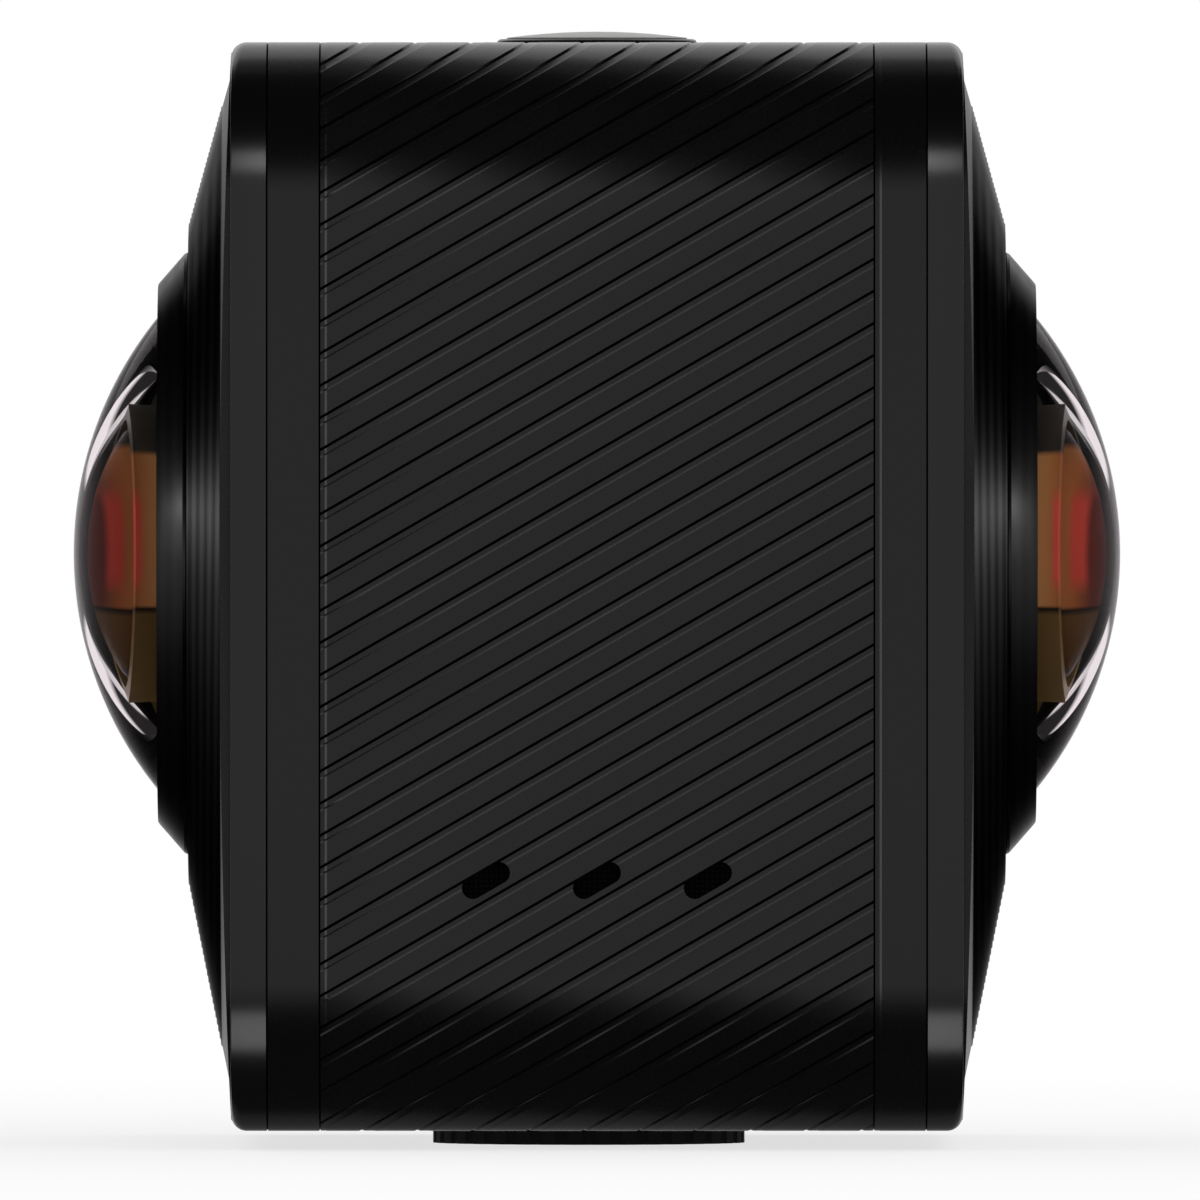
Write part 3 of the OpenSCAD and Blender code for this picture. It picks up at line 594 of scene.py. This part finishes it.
def shape_tree(name, sizes):
    """A node tree that takes a piece and those sizes, and the sockets that they come from."""
    tree = bpy.data.node_groups.new(name, "GeometryNodeTree")
    tree.interface.new_socket("Piece", in_out="INPUT", socket_type="NodeSocketGeometry")
    for size in sizes:
        tree.interface.new_socket(size, in_out="INPUT", socket_type="NodeSocketFloat")
    tree.interface.new_socket("Piece", in_out="OUTPUT", socket_type="NodeSocketGeometry")
    return tree, tree.nodes.new("NodeGroupInput").outputs


def on_points(tree, name, kind):
    """A value that was kept on the points of the piece."""
    kept = tree.nodes.new("GeometryNodeInputNamedAttribute")
    kept.data_type = kind
    kept.inputs["Name"].default_value = name
    return kept.outputs["Attribute"]


def moved(tree, given, offset, material):
    """Ends a shape tree: each point moves by offset, and the piece gets its material."""
    link = tree.links.new
    move = tree.nodes.new("GeometryNodeSetPosition")
    link(given["Piece"], move.inputs["Geometry"])
    link(offset, move.inputs["Offset"])
    whole = tree.nodes.new("GeometryNodeRealizeInstances")
    link(move.outputs["Geometry"], whole.inputs["Geometry"])
    paint = tree.nodes.new("GeometryNodeSetMaterial")
    paint.inputs["Material"].default_value = material
    link(whole.outputs["Geometry"], paint.inputs["Geometry"])
    link(paint.outputs["Geometry"], tree.nodes.new("NodeGroupOutput").inputs["Piece"])


def groove_tree(material):
    """Sinks the skin into grooves: a narrow slit, a shallow land under it and a ramp back to the surface."""
    sizes = {"Slope": GROOVE_SLOPE, "Rise": GROOVE_RISE * MM, "Top line": TOP_LINE * MM,
             "Slit middle": SLIT_HALF * MM, "Slit width": 2 * SLIT_HALF * MM, "Slit depth": SLIT_DEPTH * MM,
             "Land depth": LAND_DEPTH * MM, "Land end": LAND_END * MM, "Ramp end": RAMP_END * MM}
    tree, given = shape_tree("slanted_grooves", sizes)
    split = tree.nodes.new("ShaderNodeSeparateXYZ")
    tree.links.new(tree.nodes.new("GeometryNodeInputPosition").outputs["Position"], split.inputs["Vector"])
    slant = sums(tree, "MULTIPLY", split.outputs["X"], given["Slope"])
    height = sums(tree, "SUBTRACT", split.outputs["Z"], slant)
    below = sums(tree, "SUBTRACT", given["Top line"], height)
    within = sums(tree, "FLOORED_MODULO", sums(tree, "ADD", below, NUDGE), given["Rise"])
    drop = sums(tree, "SUBTRACT", within, NUDGE)
    entry = mapped(tree, drop, 0, given["Slit middle"], 0, given["Slit depth"])
    rise = sums(tree, "SUBTRACT", given["Slit depth"], given["Land depth"])
    leave = mapped(tree, drop, given["Slit middle"], given["Slit width"], 0, rise)
    back = mapped(tree, drop, given["Land end"], given["Ramp end"], 0, given["Land depth"])
    depth = sums(tree, "SUBTRACT", sums(tree, "SUBTRACT", entry, leave), back)
    shift = tree.nodes.new("ShaderNodeVectorMath")
    shift.operation = "SCALE"
    tree.links.new(on_points(tree, "inward", "FLOAT_VECTOR"), shift.inputs["Vector"])
    tree.links.new(depth, shift.inputs["Scale"])
    moved(tree, given, shift.outputs["Vector"], material)
    return tree, sizes


def settle(piece, tree, sizes):
    """Runs a node tree on a piece with those sizes and keeps the result as a plain mesh."""
    step = piece.modifiers.new("shape", "NODES")
    step.node_group = tree
    for item in tree.interface.items_tree:
        if item.in_out == "INPUT" and item.name in sizes:
            step[item.identifier] = sizes[item.name]
    ready = piece.evaluated_get(bpy.context.evaluated_depsgraph_get())
    mesh = bpy.data.meshes.new_from_object(ready)
    name, rough_mesh = piece.name, piece.data
    bpy.data.objects.remove(piece)
    bpy.data.meshes.remove(rough_mesh)
    mesh.name = name
    return mesh


def bore(piece, cutters):
    """Cuts holes through a piece and removes the cutters."""
    for cutter in cutters:
        step = piece.modifiers.new("hole", "BOOLEAN")
        step.object = cutter
        step.operation = "DIFFERENCE"
        step.solver = "EXACT"
    ready = piece.evaluated_get(bpy.context.evaluated_depsgraph_get())
    mesh = bpy.data.meshes.new_from_object(ready)
    name, rough_mesh = piece.name, piece.data
    piece.modifiers.clear()
    piece.data = mesh
    bpy.data.meshes.remove(rough_mesh)
    mesh.name = name
    for cutter in cutters:
        bpy.data.objects.remove(cutter)


def prism(points, start, way, length):
    """A straight bar with that outline, as a cutter. Points are places in space, in millimetres."""
    mesh = bpy.data.meshes.new("cutter")
    made = bmesh.new()
    near = [made.verts.new((Vector(p) + Vector(start)) * MM) for p in points]
    far = [made.verts.new((Vector(p) + Vector(start) + Vector(way) * length) * MM) for p in points]
    made.faces.new(near)
    made.faces.new(far[::-1])
    for k in range(len(points)):
        after = (k + 1) % len(points)
        made.faces.new([near[k], far[k], far[after], near[after]])
    bmesh.ops.recalc_face_normals(made, faces=made.faces[:])
    made.to_mesh(mesh)
    made.free()
    piece = bpy.data.objects.new("cutter", mesh)
    bpy.context.scene.collection.objects.link(piece)
    return piece


def stadium(width, height, radius, turn=0.0, steps=10):
    """A rectangle with round corners in the XZ plane, turned by an angle in degrees."""
    spots = []
    for quarter in range(4):
        u, v = ((1, 1), (-1, 1), (-1, -1), (1, -1))[quarter]
        for k in range(steps + 1):
            a = math.radians(90 * quarter + 90 * k / steps)
            spots.append((u * (width / 2 - radius) + radius * math.cos(a),
                          v * (height / 2 - radius) + radius * math.sin(a)))
    c, s = math.cos(math.radians(turn)), math.sin(math.radians(turn))
    return [(x * c - z * s, 0, x * s + z * c) for x, z in spots]


def circle_xy(radius, turns=96):
    """A circle in the XY plane."""
    return [(radius * math.cos(2 * math.pi * k / turns), radius * math.sin(2 * math.pi * k / turns), 0)
            for k in range(turns)]


SLOT_L, SLOT_W, SLOT_CORNER = 2.87, 1.2, 0.599
SLOT_PITCH = 6.1
SLOT_Z = 14.9
BAY_W, BAY_H, BAY_CORNER = 21.9, 12.4, 1.85
DOOR_Z = 16.0
BUTTON_RING_R = 5.55
BUTTON_RING_GAP = 0.05
BUSH_R = 4.05
FOOT_X = -0.45
CUT = 4.0
CUT_PAST = 1.0
TOP_SHARE = 0.25


def satin_black(name, rough=0.26, depth=0.0004):
    """The black plastic of the case, with the fine grain that its mould leaves."""
    return grained(name, (0.0012, 0.0012, 0.0013), rough, 0.12, depth, specular=0.42, wear=0.02)


def shallower(way):
    """Seams and grooves are cut to full depth at the sides and to a share of it above and below."""
    return 1 - (1 - TOP_SHARE) * way.y ** 4


def stepped_edge(start, way):
    """The low step beside a seam, and the little ramp from it up to the skin."""
    depth = REBATE_DEPTH * shallower(way)
    return [(start + SEAM_HALF, depth), (start + REBATE_W, depth), (start + REBATE_W + REBATE_RUN, 0)]


def sleeve_profile(way):
    seam = SEAM_DEPTH * shallower(way)
    return ([(-SLEEVE_X, WALL), (-SLEEVE_X, seam)] + stepped_edge(-SLEEVE_X, way)
            + [(SLEEVE_X - SEAM_HALF, 0), (SLEEVE_X, seam), (SLEEVE_X, WALL)])


sleeve_black = satin_black("satin_black_sleeve")
sleeve = sweep("centre_sleeve_shown", sleeve_profile, sleeve_black)
slot = stadium(SLOT_L, SLOT_W, SLOT_CORNER, GROOVE_ANGLE)
bay = stadium(BAY_W, BAY_H, BAY_CORNER)
button_hole = circle_xy(BUTTON_RING_R + BUTTON_RING_GAP)
holes = [prism(slot, (k * SLOT_PITCH, -HALF - CUT_PAST, SLOT_Z), (0, 1, 0), CUT) for k in (-1, 0, 1)]
holes += [prism(bay, (0, HALF + CUT_PAST - CUT, DOOR_Z), (0, 1, 0), CUT),
          prism(button_hole, (0, 0, MID_Z + HALF + CUT_PAST - CUT), (0, 0, 1), CUT),
          prism(circle_xy(BUSH_R), (FOOT_X, 0, FOOT_H - CUT_PAST), (0, 0, 1), CUT)]
bore(sleeve, holes)
cut_along_grooves(sleeve.data)
inward = sleeve.data.attributes.new("inward", "FLOAT_VECTOR", "POINT")
reach = HALF - CORNER_R
for index, vertex in enumerate(sleeve.data.vertices):
    y, z = vertex.co.y / MM, vertex.co.z / MM - MID_Z
    out = Vector((0, math.copysign(max(abs(y) - reach, 0), y), math.copysign(max(abs(z) - reach, 0), z)))
    on_skin = inset_of(vertex.co) < SKIN
    way = out.normalized()
    inward.data[index].vector = -way * shallower(way.yz) if on_skin and out.length > 0 else Vector()
grooves, groove_sizes = groove_tree(sleeve_black)
sleeve = placed(settle(sleeve, grooves, groove_sizes), sleeve_black, sharp=20)
crease = sleeve.data.attributes["sharp_edge"].data
spots = sleeve.data.vertices
for edge in sleeve.data.edges:
    one, two = (spots[k].co for k in edge.vertices)
    if abs((one.z - two.z) - (one.x - two.x) * GROOVE_SLOPE) < 1e-7 and (one - two).length > 1e-5:
        crease[edge.index].value = True
stand_for(sleeve, "body", "sleeve_plastic", "centre_sleeve")


# End frames: smooth satin black mouldings, one at each end of the sleeve. Their inner lips plug into it, and
# the case screws draw them tight.

SPIGOT_X = 12.65
SPIGOT_OUT = 1.65
SPIGOT_IN = 2.65
FRAME_X = 18.15
frame_black = satin_black("satin_black_frame")


def frame_profile(way, stepped):
    """The frame's section. The front frame has a step beside its seam, as the sleeve has at the other end."""
    seam = SEAM_DEPTH * shallower(way)
    edge = stepped_edge(SLEEVE_X, way) if stepped else [(SLEEVE_X + SEAM_HALF, 0)]
    return ([(SPIGOT_X, SPIGOT_IN), (SPIGOT_X, SPIGOT_OUT), (SLEEVE_X, SPIGOT_OUT), (SLEEVE_X, seam)] + edge
            + [(FRAME_X - SEAM_HALF, 0), (FRAME_X, seam), (FRAME_X, SPIGOT_IN)])


both_ends("frame", "frame_plastic", lambda name: sweep(
    name, lambda way: frame_profile(way, name.startswith("front")), frame_black, sharp=10))


# Rims: glossier black rings screwed on over the frames. Their top and bottom edges are rounded, and each
# holds a plate in its mouth.

RIM_X = 20.15
PLATE_X = 19.35
RIM_IN = 7.0
LIP = 0.6
LIP_NEAR = 0.99 * LIP
EDGE = 0.05
EDGE_R = 0.85
ROUND_STEPS = 8


def rim_profile(way):
    """The rim's section. Its outer edge is rounded where it faces up or down and almost sharp at the sides."""
    radius = EDGE + (EDGE_R - EDGE) * max(0.0, abs(way.y) * 2 - 1) ** 2
    turn = [math.pi / 2 * k / ROUND_STEPS for k in range(ROUND_STEPS + 1)]
    edge = [(RIM_X - radius + radius * math.sin(a), min(radius - radius * math.cos(a), LIP_NEAR)) for a in turn]
    return ([(FRAME_X, RIM_IN), (FRAME_X, SEAM_DEPTH * shallower(way)), (FRAME_X + SEAM_HALF, 0)] + edge
            + [(RIM_X - EDGE, LIP), (PLATE_X, LIP), (PLATE_X, RIM_IN)])


rim_black = satin_black("polished_black_rim", 0.24, 0.0003)
both_ends("rim", "rim_plastic", lambda name: sweep(name, rim_profile, rim_black))


# Plates: thin covers moulded in semi-gloss black plastic, which swell a little towards their middle. Each sits
# in the mouth of its rim and closes that end.

dress(grained("semi_gloss_plate", (0.004, 0.004, 0.0042), 0.28, 0.1, 0.002, specular=0.3),
      "front_plate", "rear_plate")


# Surrounds: metal rings, turned and coated black, that slope from the plate up to the lens. The tool leaves
# fine steps on the slope, and its marks show as darker and lighter rings.

LAND_X = 22.65
BASE_R = 28.8
TOP_R = 18.1
BORE_R = 15.4
STEPS = 32
FIRST_STEP = 8
RISER = 0.24
FINE_TURNS = 160
WAVE = math.pi / 10


def surround(name, material):
    """The sloped ring, with its share of the way up the slope kept on each point."""
    mesh = bpy.data.meshes.new(name)
    made = bmesh.new()
    layer = made.verts.layers.float.new("share")
    shares = sorted([k / STEPS for k in range(STEPS + 1)] + [(k + RISER) / STEPS for k in range(STEPS)])
    rows = [(RIM_X + (LAND_X - RIM_X) * s, BASE_R + (TOP_R - BASE_R) * s, MID_Z + (LENS_Z - MID_Z) * s, s)
            for s in shares]
    rows += [(LAND_X, BORE_R, LENS_Z, 0), (RIM_X, BORE_R, LENS_Z, 0)]
    loops = []
    for x, radius, z, share in rows:
        loop = []
        for k in range(FINE_TURNS):
            a = 2 * math.pi * k / FINE_TURNS
            vertex = made.verts.new((x * MM, radius * math.cos(a) * MM, (z + radius * math.sin(a)) * MM))
            vertex[layer] = share if share * STEPS >= FIRST_STEP else 0
            loop.append(vertex)
        loops.append(loop)
    for one, two in zip(loops, loops[1:] + loops[:1]):
        for k in range(FINE_TURNS):
            after = (k + 1) % FINE_TURNS
            made.faces.new([one[k], one[after], two[after], two[k]])
    bmesh.ops.recalc_face_normals(made, faces=made.faces[:])
    made.to_mesh(mesh)
    made.free()
    return placed(mesh, material)


def ring_tree(material):
    """Turns the slope into fine steps, each with a short sloping riser and a flat tread."""
    sizes = {"Step count": float(STEPS), "Step height": (LAND_X - RIM_X) / STEPS * MM, "Riser share": RISER}
    tree, given = shape_tree("turned_rings", sizes)
    count = sums(tree, "MULTIPLY", on_points(tree, "share", "FLOAT"), given["Step count"])
    part = sums(tree, "FRACT", count)
    ahead = sums(tree, "SUBTRACT", mapped(tree, part, 0, given["Riser share"]), part)
    along = tree.nodes.new("ShaderNodeCombineXYZ")
    tree.links.new(sums(tree, "MULTIPLY", ahead, given["Step height"]), along.inputs["X"])
    moved(tree, given, along.outputs["Vector"], material)
    return tree, sizes


def turned_black(name, rough, dark, light, grazing, pitch):
    """A black coating over turning marks pitch millimetres apart, dull when seen along the surface."""
    material, tree, shader, place = new_finish(name, light, rough, metal=1.0)
    shader.inputs["Specular Tint"].default_value = (grazing, grazing, grazing, 1)
    marks = tree.nodes.new("ShaderNodeTexWave")
    marks.wave_type = "RINGS"
    marks.rings_direction = "X"
    marks.inputs["Scale"].default_value = WAVE / (pitch * MM)
    marks.inputs["Distortion"].default_value = 0.3
    centre = tree.nodes.new("ShaderNodeMapping")
    centre.inputs["Location"].default_value = (0, 0, -LENS_Z * MM)
    tree.links.new(place, centre.inputs["Vector"])
    tree.links.new(centre.outputs["Vector"], marks.inputs["Vector"])
    tint(tree, shader, marks.outputs["Fac"], dark, light, 0.2, 0.8)
    vary(tree, shader.inputs["Roughness"], marks.outputs["Fac"], rough - 0.01, rough + 0.01)
    emboss(tree, shader, marks.outputs["Fac"], 0.0008)
    return material


surround_black = turned_black("turned_black_surround", 0.25, (0.013, 0.013, 0.0134), (0.027, 0.027, 0.0277),
                              0.5, 1.9)
rings, ring_sizes = ring_tree(surround_black)
both_ends("surround", "surround_metal", lambda name: placed(
    settle(surround(name, surround_black), rings, ring_sizes), surround_black, sharp=20))


# Lens rings: metal rings, turned with a chamfered face and coated black. They screw into the surrounds and
# clamp the domes.

FACE_X = 24.35
RING_BASE_R = 16.7
RING_FACE_R = 15.0
DOME_R = 13.15
RING_SPIGOT_X = 19.55
RING_SPIGOT_R = 15.35
RING_BORE_R = 14.0
RING_LIP_X = 23.55
CHAMFER = 0.08
LIP_INNER_R = 13.55
DOME_GAP = 0.1
ring_profile = [(RING_SPIGOT_X, RING_SPIGOT_R), (LAND_X, RING_SPIGOT_R), (LAND_X, RING_BASE_R - CHAMFER),
                (LAND_X + CHAMFER, RING_BASE_R), (LAND_X + 3 * CHAMFER, RING_BASE_R - CHAMFER),
                (FACE_X - CHAMFER, RING_FACE_R + CHAMFER / 2), (FACE_X, RING_FACE_R - CHAMFER),
                (FACE_X, DOME_R + DOME_GAP), (RING_LIP_X, LIP_INNER_R), (RING_LIP_X, RING_BORE_R),
                (RING_SPIGOT_X, RING_BORE_R)]
ring_black = turned_black("turned_black_ring", 0.2, (0.028, 0.028, 0.0286), (0.031, 0.031, 0.0316), 0.4, 0.75)
both_ends("lens_ring", "ring_metal", lambda name: lathe(
    name, ring_profile, ring_black, centre=(0, 0, LENS_Z), turns=FINE_TURNS, sharp=8))


# Domes: the outer glass of each lens, ground and polished, with a faint purple coating. The lens ring clamps
# the edge, which is inked black.

APEX_X = 29.05
DOME_BALL = 20.746
DOME_T = 1.38
DOME_INNER_R = 11.65
DOME_BASE_X = 22.15
DOME_EDGE_R = 13.95
DOME_STEPS = 48
dome_mid = APEX_X - DOME_BALL
edge_angle = math.degrees(math.acos((RING_LIP_X - dome_mid) / DOME_BALL))
inner_mid = APEX_X - DOME_T - DOME_INNER_R
inner_edge = math.degrees(math.acos((DOME_BASE_X - inner_mid) / DOME_INNER_R))
dome_profile = (arc(dome_mid, DOME_BALL, 0, edge_angle, DOME_STEPS)
                + [(RING_LIP_X, DOME_EDGE_R), (DOME_BASE_X, DOME_EDGE_R)]
                + arc(inner_mid, DOME_INNER_R, inner_edge, 0, DOME_STEPS))
dome_coats = {DOME_STEPS + k: 1 for k in range(3)}
dome_glass = glass("coated_dome_glass", (0.93, 0.91, 0.915), 0.05)
edge_ink = grained("black_edge_ink", (0.004, 0.0035, 0.0037), 0.8, 0.2, 0.004, specular=0.1)
both_ends("dome", "dome_glass", lambda name: lathe(
    name, dome_profile, (dome_glass, edge_ink), centre=(0, 0, LENS_Z), turns=FINE_TURNS, coats=dome_coats),
    clear=True)


# Shutter button: a satin grey cap, slightly domed, that presses a red plunger through a black ring in the
# top of the sleeve.

dress(grained("plunger_red", (0.5, 0.03, 0.02), 0.3, 0.2, 0.003), "switch_plunger")
BUTTON_RING_TOP = 61.25
RING_LOW, RING_FLANGE = 58.4, 59.4
RING_FLANGE_R = 6.6
RING_INNER_R = 5.1
RING_EDGE = 0.05
RING_BEVEL = [(0.2, 0.0), (0.09, 0.05), (0.02, 0.15), (0.0, 0.3)]
button_ring_profile = ([(RING_LOW, RING_INNER_R), (RING_LOW, RING_FLANGE_R), (RING_FLANGE, RING_FLANGE_R),
                        (RING_FLANGE, BUTTON_RING_R)]
                       + [(BUTTON_RING_TOP - drop, BUTTON_RING_R - inset) for drop, inset in RING_BEVEL]
                       + [(BUTTON_RING_TOP, RING_INNER_R + RING_EDGE),
                          (BUTTON_RING_TOP - RING_EDGE, RING_INNER_R)])
button_ring_black = grained("ring_black", (0.002, 0.002, 0.002), 0.3, 0.1, 0.001)
button_ring = lathe("button_ring_shown", button_ring_profile, button_ring_black, axis="Z")
stand_for(button_ring, "body", "button_ring_metal", "button_ring")
button_satin = grained("button_satin", (0.07, 0.065, 0.06), 0.3, 0.15, 0.0004, wear=0.02)
dress(button_satin, "shutter_button")


# Port door: a flap of the same plastic as the sleeve, on a steel pin at one side of a moulded bay that
# holds the charging and card sockets.

dress(grained("bay_moulding", (0.005, 0.005, 0.0055), 0.42, 0.12, 0.003, specular=0.42), "port_bay")
dress(satin_black("satin_black_door"), "port_door")


# Studio: pale paper under the object that takes its shadow, a white backdrop, soft lamps and a long lens level
# with the body. Gloss and glass see levels of their own in place of the backdrop.

FLOOR_R = 0.3
PAPER_R = 0.06
FADE_R = 0.25
GLOW = 0.72


def floor_paper():
    """Paper that takes the shadow near the object and fades to plain white further out."""
    material, tree, shader, place = new_finish("floor_paper", (0.93, 0.93, 0.93), 0.9, specular=0.0)
    rim = tree.nodes.new("ShaderNodeVectorMath")
    rim.operation = "LENGTH"
    tree.links.new(place, rim.inputs[0])
    glow = tree.nodes.new("ShaderNodeEmission")
    glow.inputs["Color"].default_value = (1, 1, 1, 1)
    fade = mapped(tree, rim.outputs["Value"], PAPER_R, FADE_R, GLOW)
    whole = mixed(tree, fade, shader.outputs["BSDF"], glow.outputs["Emission"])
    tree.links.new(whole, tree.nodes["Material Output"].inputs["Surface"])
    return material


floor_mesh = bpy.data.meshes.new("studio_floor")
made = bmesh.new()
bmesh.ops.create_circle(made, cap_ends=True, radius=FLOOR_R, segments=96)
made.to_mesh(floor_mesh)
made.free()
floor_mesh.materials.append(floor_paper())
floor = bpy.data.objects.new("studio_floor", floor_mesh)
bpy.context.scene.collection.objects.link(floor)
floor.visible_glossy = False
floor.visible_transmission = False
floor.visible_shadow = False

world = bpy.data.worlds.new("studio")
bpy.context.scene.world = world
world.use_nodes = True
tree = world.node_tree
tree.nodes.clear()
link = tree.links.new
way = tree.nodes.new("ShaderNodeTexCoord")
split = tree.nodes.new("ShaderNodeSeparateXYZ")
link(way.outputs["Generated"], split.inputs["Vector"])
lift = mapped(tree, split.outputs["Z"], -1, 1)


def by_height(levels):
    """Brightness of the surroundings by height above the horizon, in degrees."""
    stops = [(0.5 + 0.5 * math.sin(math.radians(height)), (level, level, level)) for height, level in levels]
    shown = tree.nodes.new("ShaderNodeBackground")
    link(shades(tree, lift, stops), shown.inputs["Color"])
    return shown.outputs[0]


GLOSS_LEVELS = [(-90, 0.001), (-27, 0.001), (-16, 0.12), (-8, 0.46), (-3, 0.74), (3, 0.74), (8, 0.46), (16, 0.12),
                (27, 0.001), (90, 0.001)]
GLASS_LEVELS = [(-90, 1.0), (-66, 1.0), (-56, 0.02), (-41, 0.02), (-36, 1.0), (-22, 1.0), (-18, 0.05), (18, 0.05),
                (22, 1.0), (36, 1.0), (41, 0.02), (56, 0.02), (66, 1.0), (90, 1.0)]
FILL = 0.7
ray = tree.nodes.new("ShaderNodeLightPath")
white = tree.nodes.new("ShaderNodeBackground")
white.inputs["Color"].default_value = (1, 1, 1, 1)
fill = tree.nodes.new("ShaderNodeBackground")
fill.inputs["Color"].default_value = (FILL, FILL, FILL, 1)
seen = fill.outputs[0]
for kind, shown in (("Is Glossy Ray", by_height(GLOSS_LEVELS)), ("Is Transmission Ray", by_height(GLASS_LEVELS)),
                    ("Is Camera Ray", white.outputs[0])):
    seen = mixed(tree, ray.outputs[kind], seen, shown)
link(seen, tree.nodes.new("ShaderNodeOutputWorld").inputs["Surface"])


def softbox(name, spot, level, width, height, glossy, *pieces):
    """A soft lamp of that brightness, aimed at the middle of the object, that lights the named pieces or all."""
    lamp = bpy.data.lights.new(name, "AREA")
    lamp.shape = "RECTANGLE"
    lamp.energy = level * math.pi * width * height
    lamp.size, lamp.size_y = width, height
    box = bpy.data.objects.new(name, lamp)
    bpy.context.scene.collection.objects.link(box)
    box.location = spot
    box.rotation_euler = (Vector((0, 0, MID_Z * MM)) - Vector(spot)).to_track_quat("-Z", "Y").to_euler()
    box.visible_camera = False
    box.visible_glossy = glossy
    box.visible_transmission = False
    if pieces:
        lit = bpy.data.collections.new(name + "_lights")
        for piece in pieces:
            lit.objects.link(bpy.data.objects[piece])
        box.light_linking.receiver_collection = lit


softbox("key_softbox", (0.3, -0.9, 0.4), 2.0, 0.6, 0.6, False)
turned = [f"{end}_{node}_shown" for end in ENDS for node in ("lens_ring", "surround")]
rims = [f"{end}_rim_shown" for end in ENDS]
moulded = [f"{end}_frame_shown" for end in ENDS] + ["centre_sleeve_shown"]
for end, side in ENDS.items():
    softbox(f"{end}_softbox", (side * 0.9, 0, 0.14), 1.2, 0.35, 0.2, True, *turned)
    softbox(f"{end}_strip", (side * 0.9, 0, 0.155), 6.0, 0.35, 0.05, True, *turned)
    softbox(f"{end}_back_softbox", (side * 0.6, 0.8, 0.62), 1.2, 0.4, 0.4, True, f"{end}_surround_shown")
softbox("high_strip", (0, -1.1, 0.51), 6.0, 0.24, 0.30, True, *rims)
softbox("low_strip", (0, -0.9, -0.68), 3.2, 0.5, 0.6, True, *rims)
softbox("groove_softbox", (-0.42, -0.6, 0.72), 2.0, 0.22, 0.5, True, "centre_sleeve_shown")
softbox("step_softbox", (-0.8, -0.8, 0.05), 1.6, 0.4, 0.4, True, *moulded)
softbox("back_top_softbox", (0, 0.7, 0.5), 0.8, 0.9, 0.72, True)
softbox("back_high_softbox", (0, 0.40, 0.9), 0.16, 0.9, 0.35, True)
softbox("back_under_softbox", (0, 0.6, -0.5), 0.09, 0.9, 0.5, True)
softbox("back_low_strip", (0, 1.1, 0.22), 0.3, 0.8, 0.25, True, "shutter_button")

PHOTO_SPAN = 66.62
DISTANCE = 3.0
TILT = math.radians(0.4)
SENSOR_W = 36.0
AIM = Vector((0.17, 0, 30.11)) * MM
eye = bpy.data.cameras.new("photo_lens")
eye.sensor_width = SENSOR_W
eye.lens = SENSOR_W * DISTANCE / (PHOTO_SPAN * MM)
eye.clip_start, eye.clip_end = 0.1, 20.0
camera = bpy.data.objects.new("photo_camera", eye)
bpy.context.scene.collection.objects.link(camera)
back = Vector((0, -math.cos(TILT), math.sin(TILT)))
camera.location = AIM + back * DISTANCE
camera.rotation_euler = (-back).to_track_quat("-Z", "Y").to_euler()
bpy.context.scene.camera = camera
bpy.context.scene.view_settings.view_transform = "Standard"
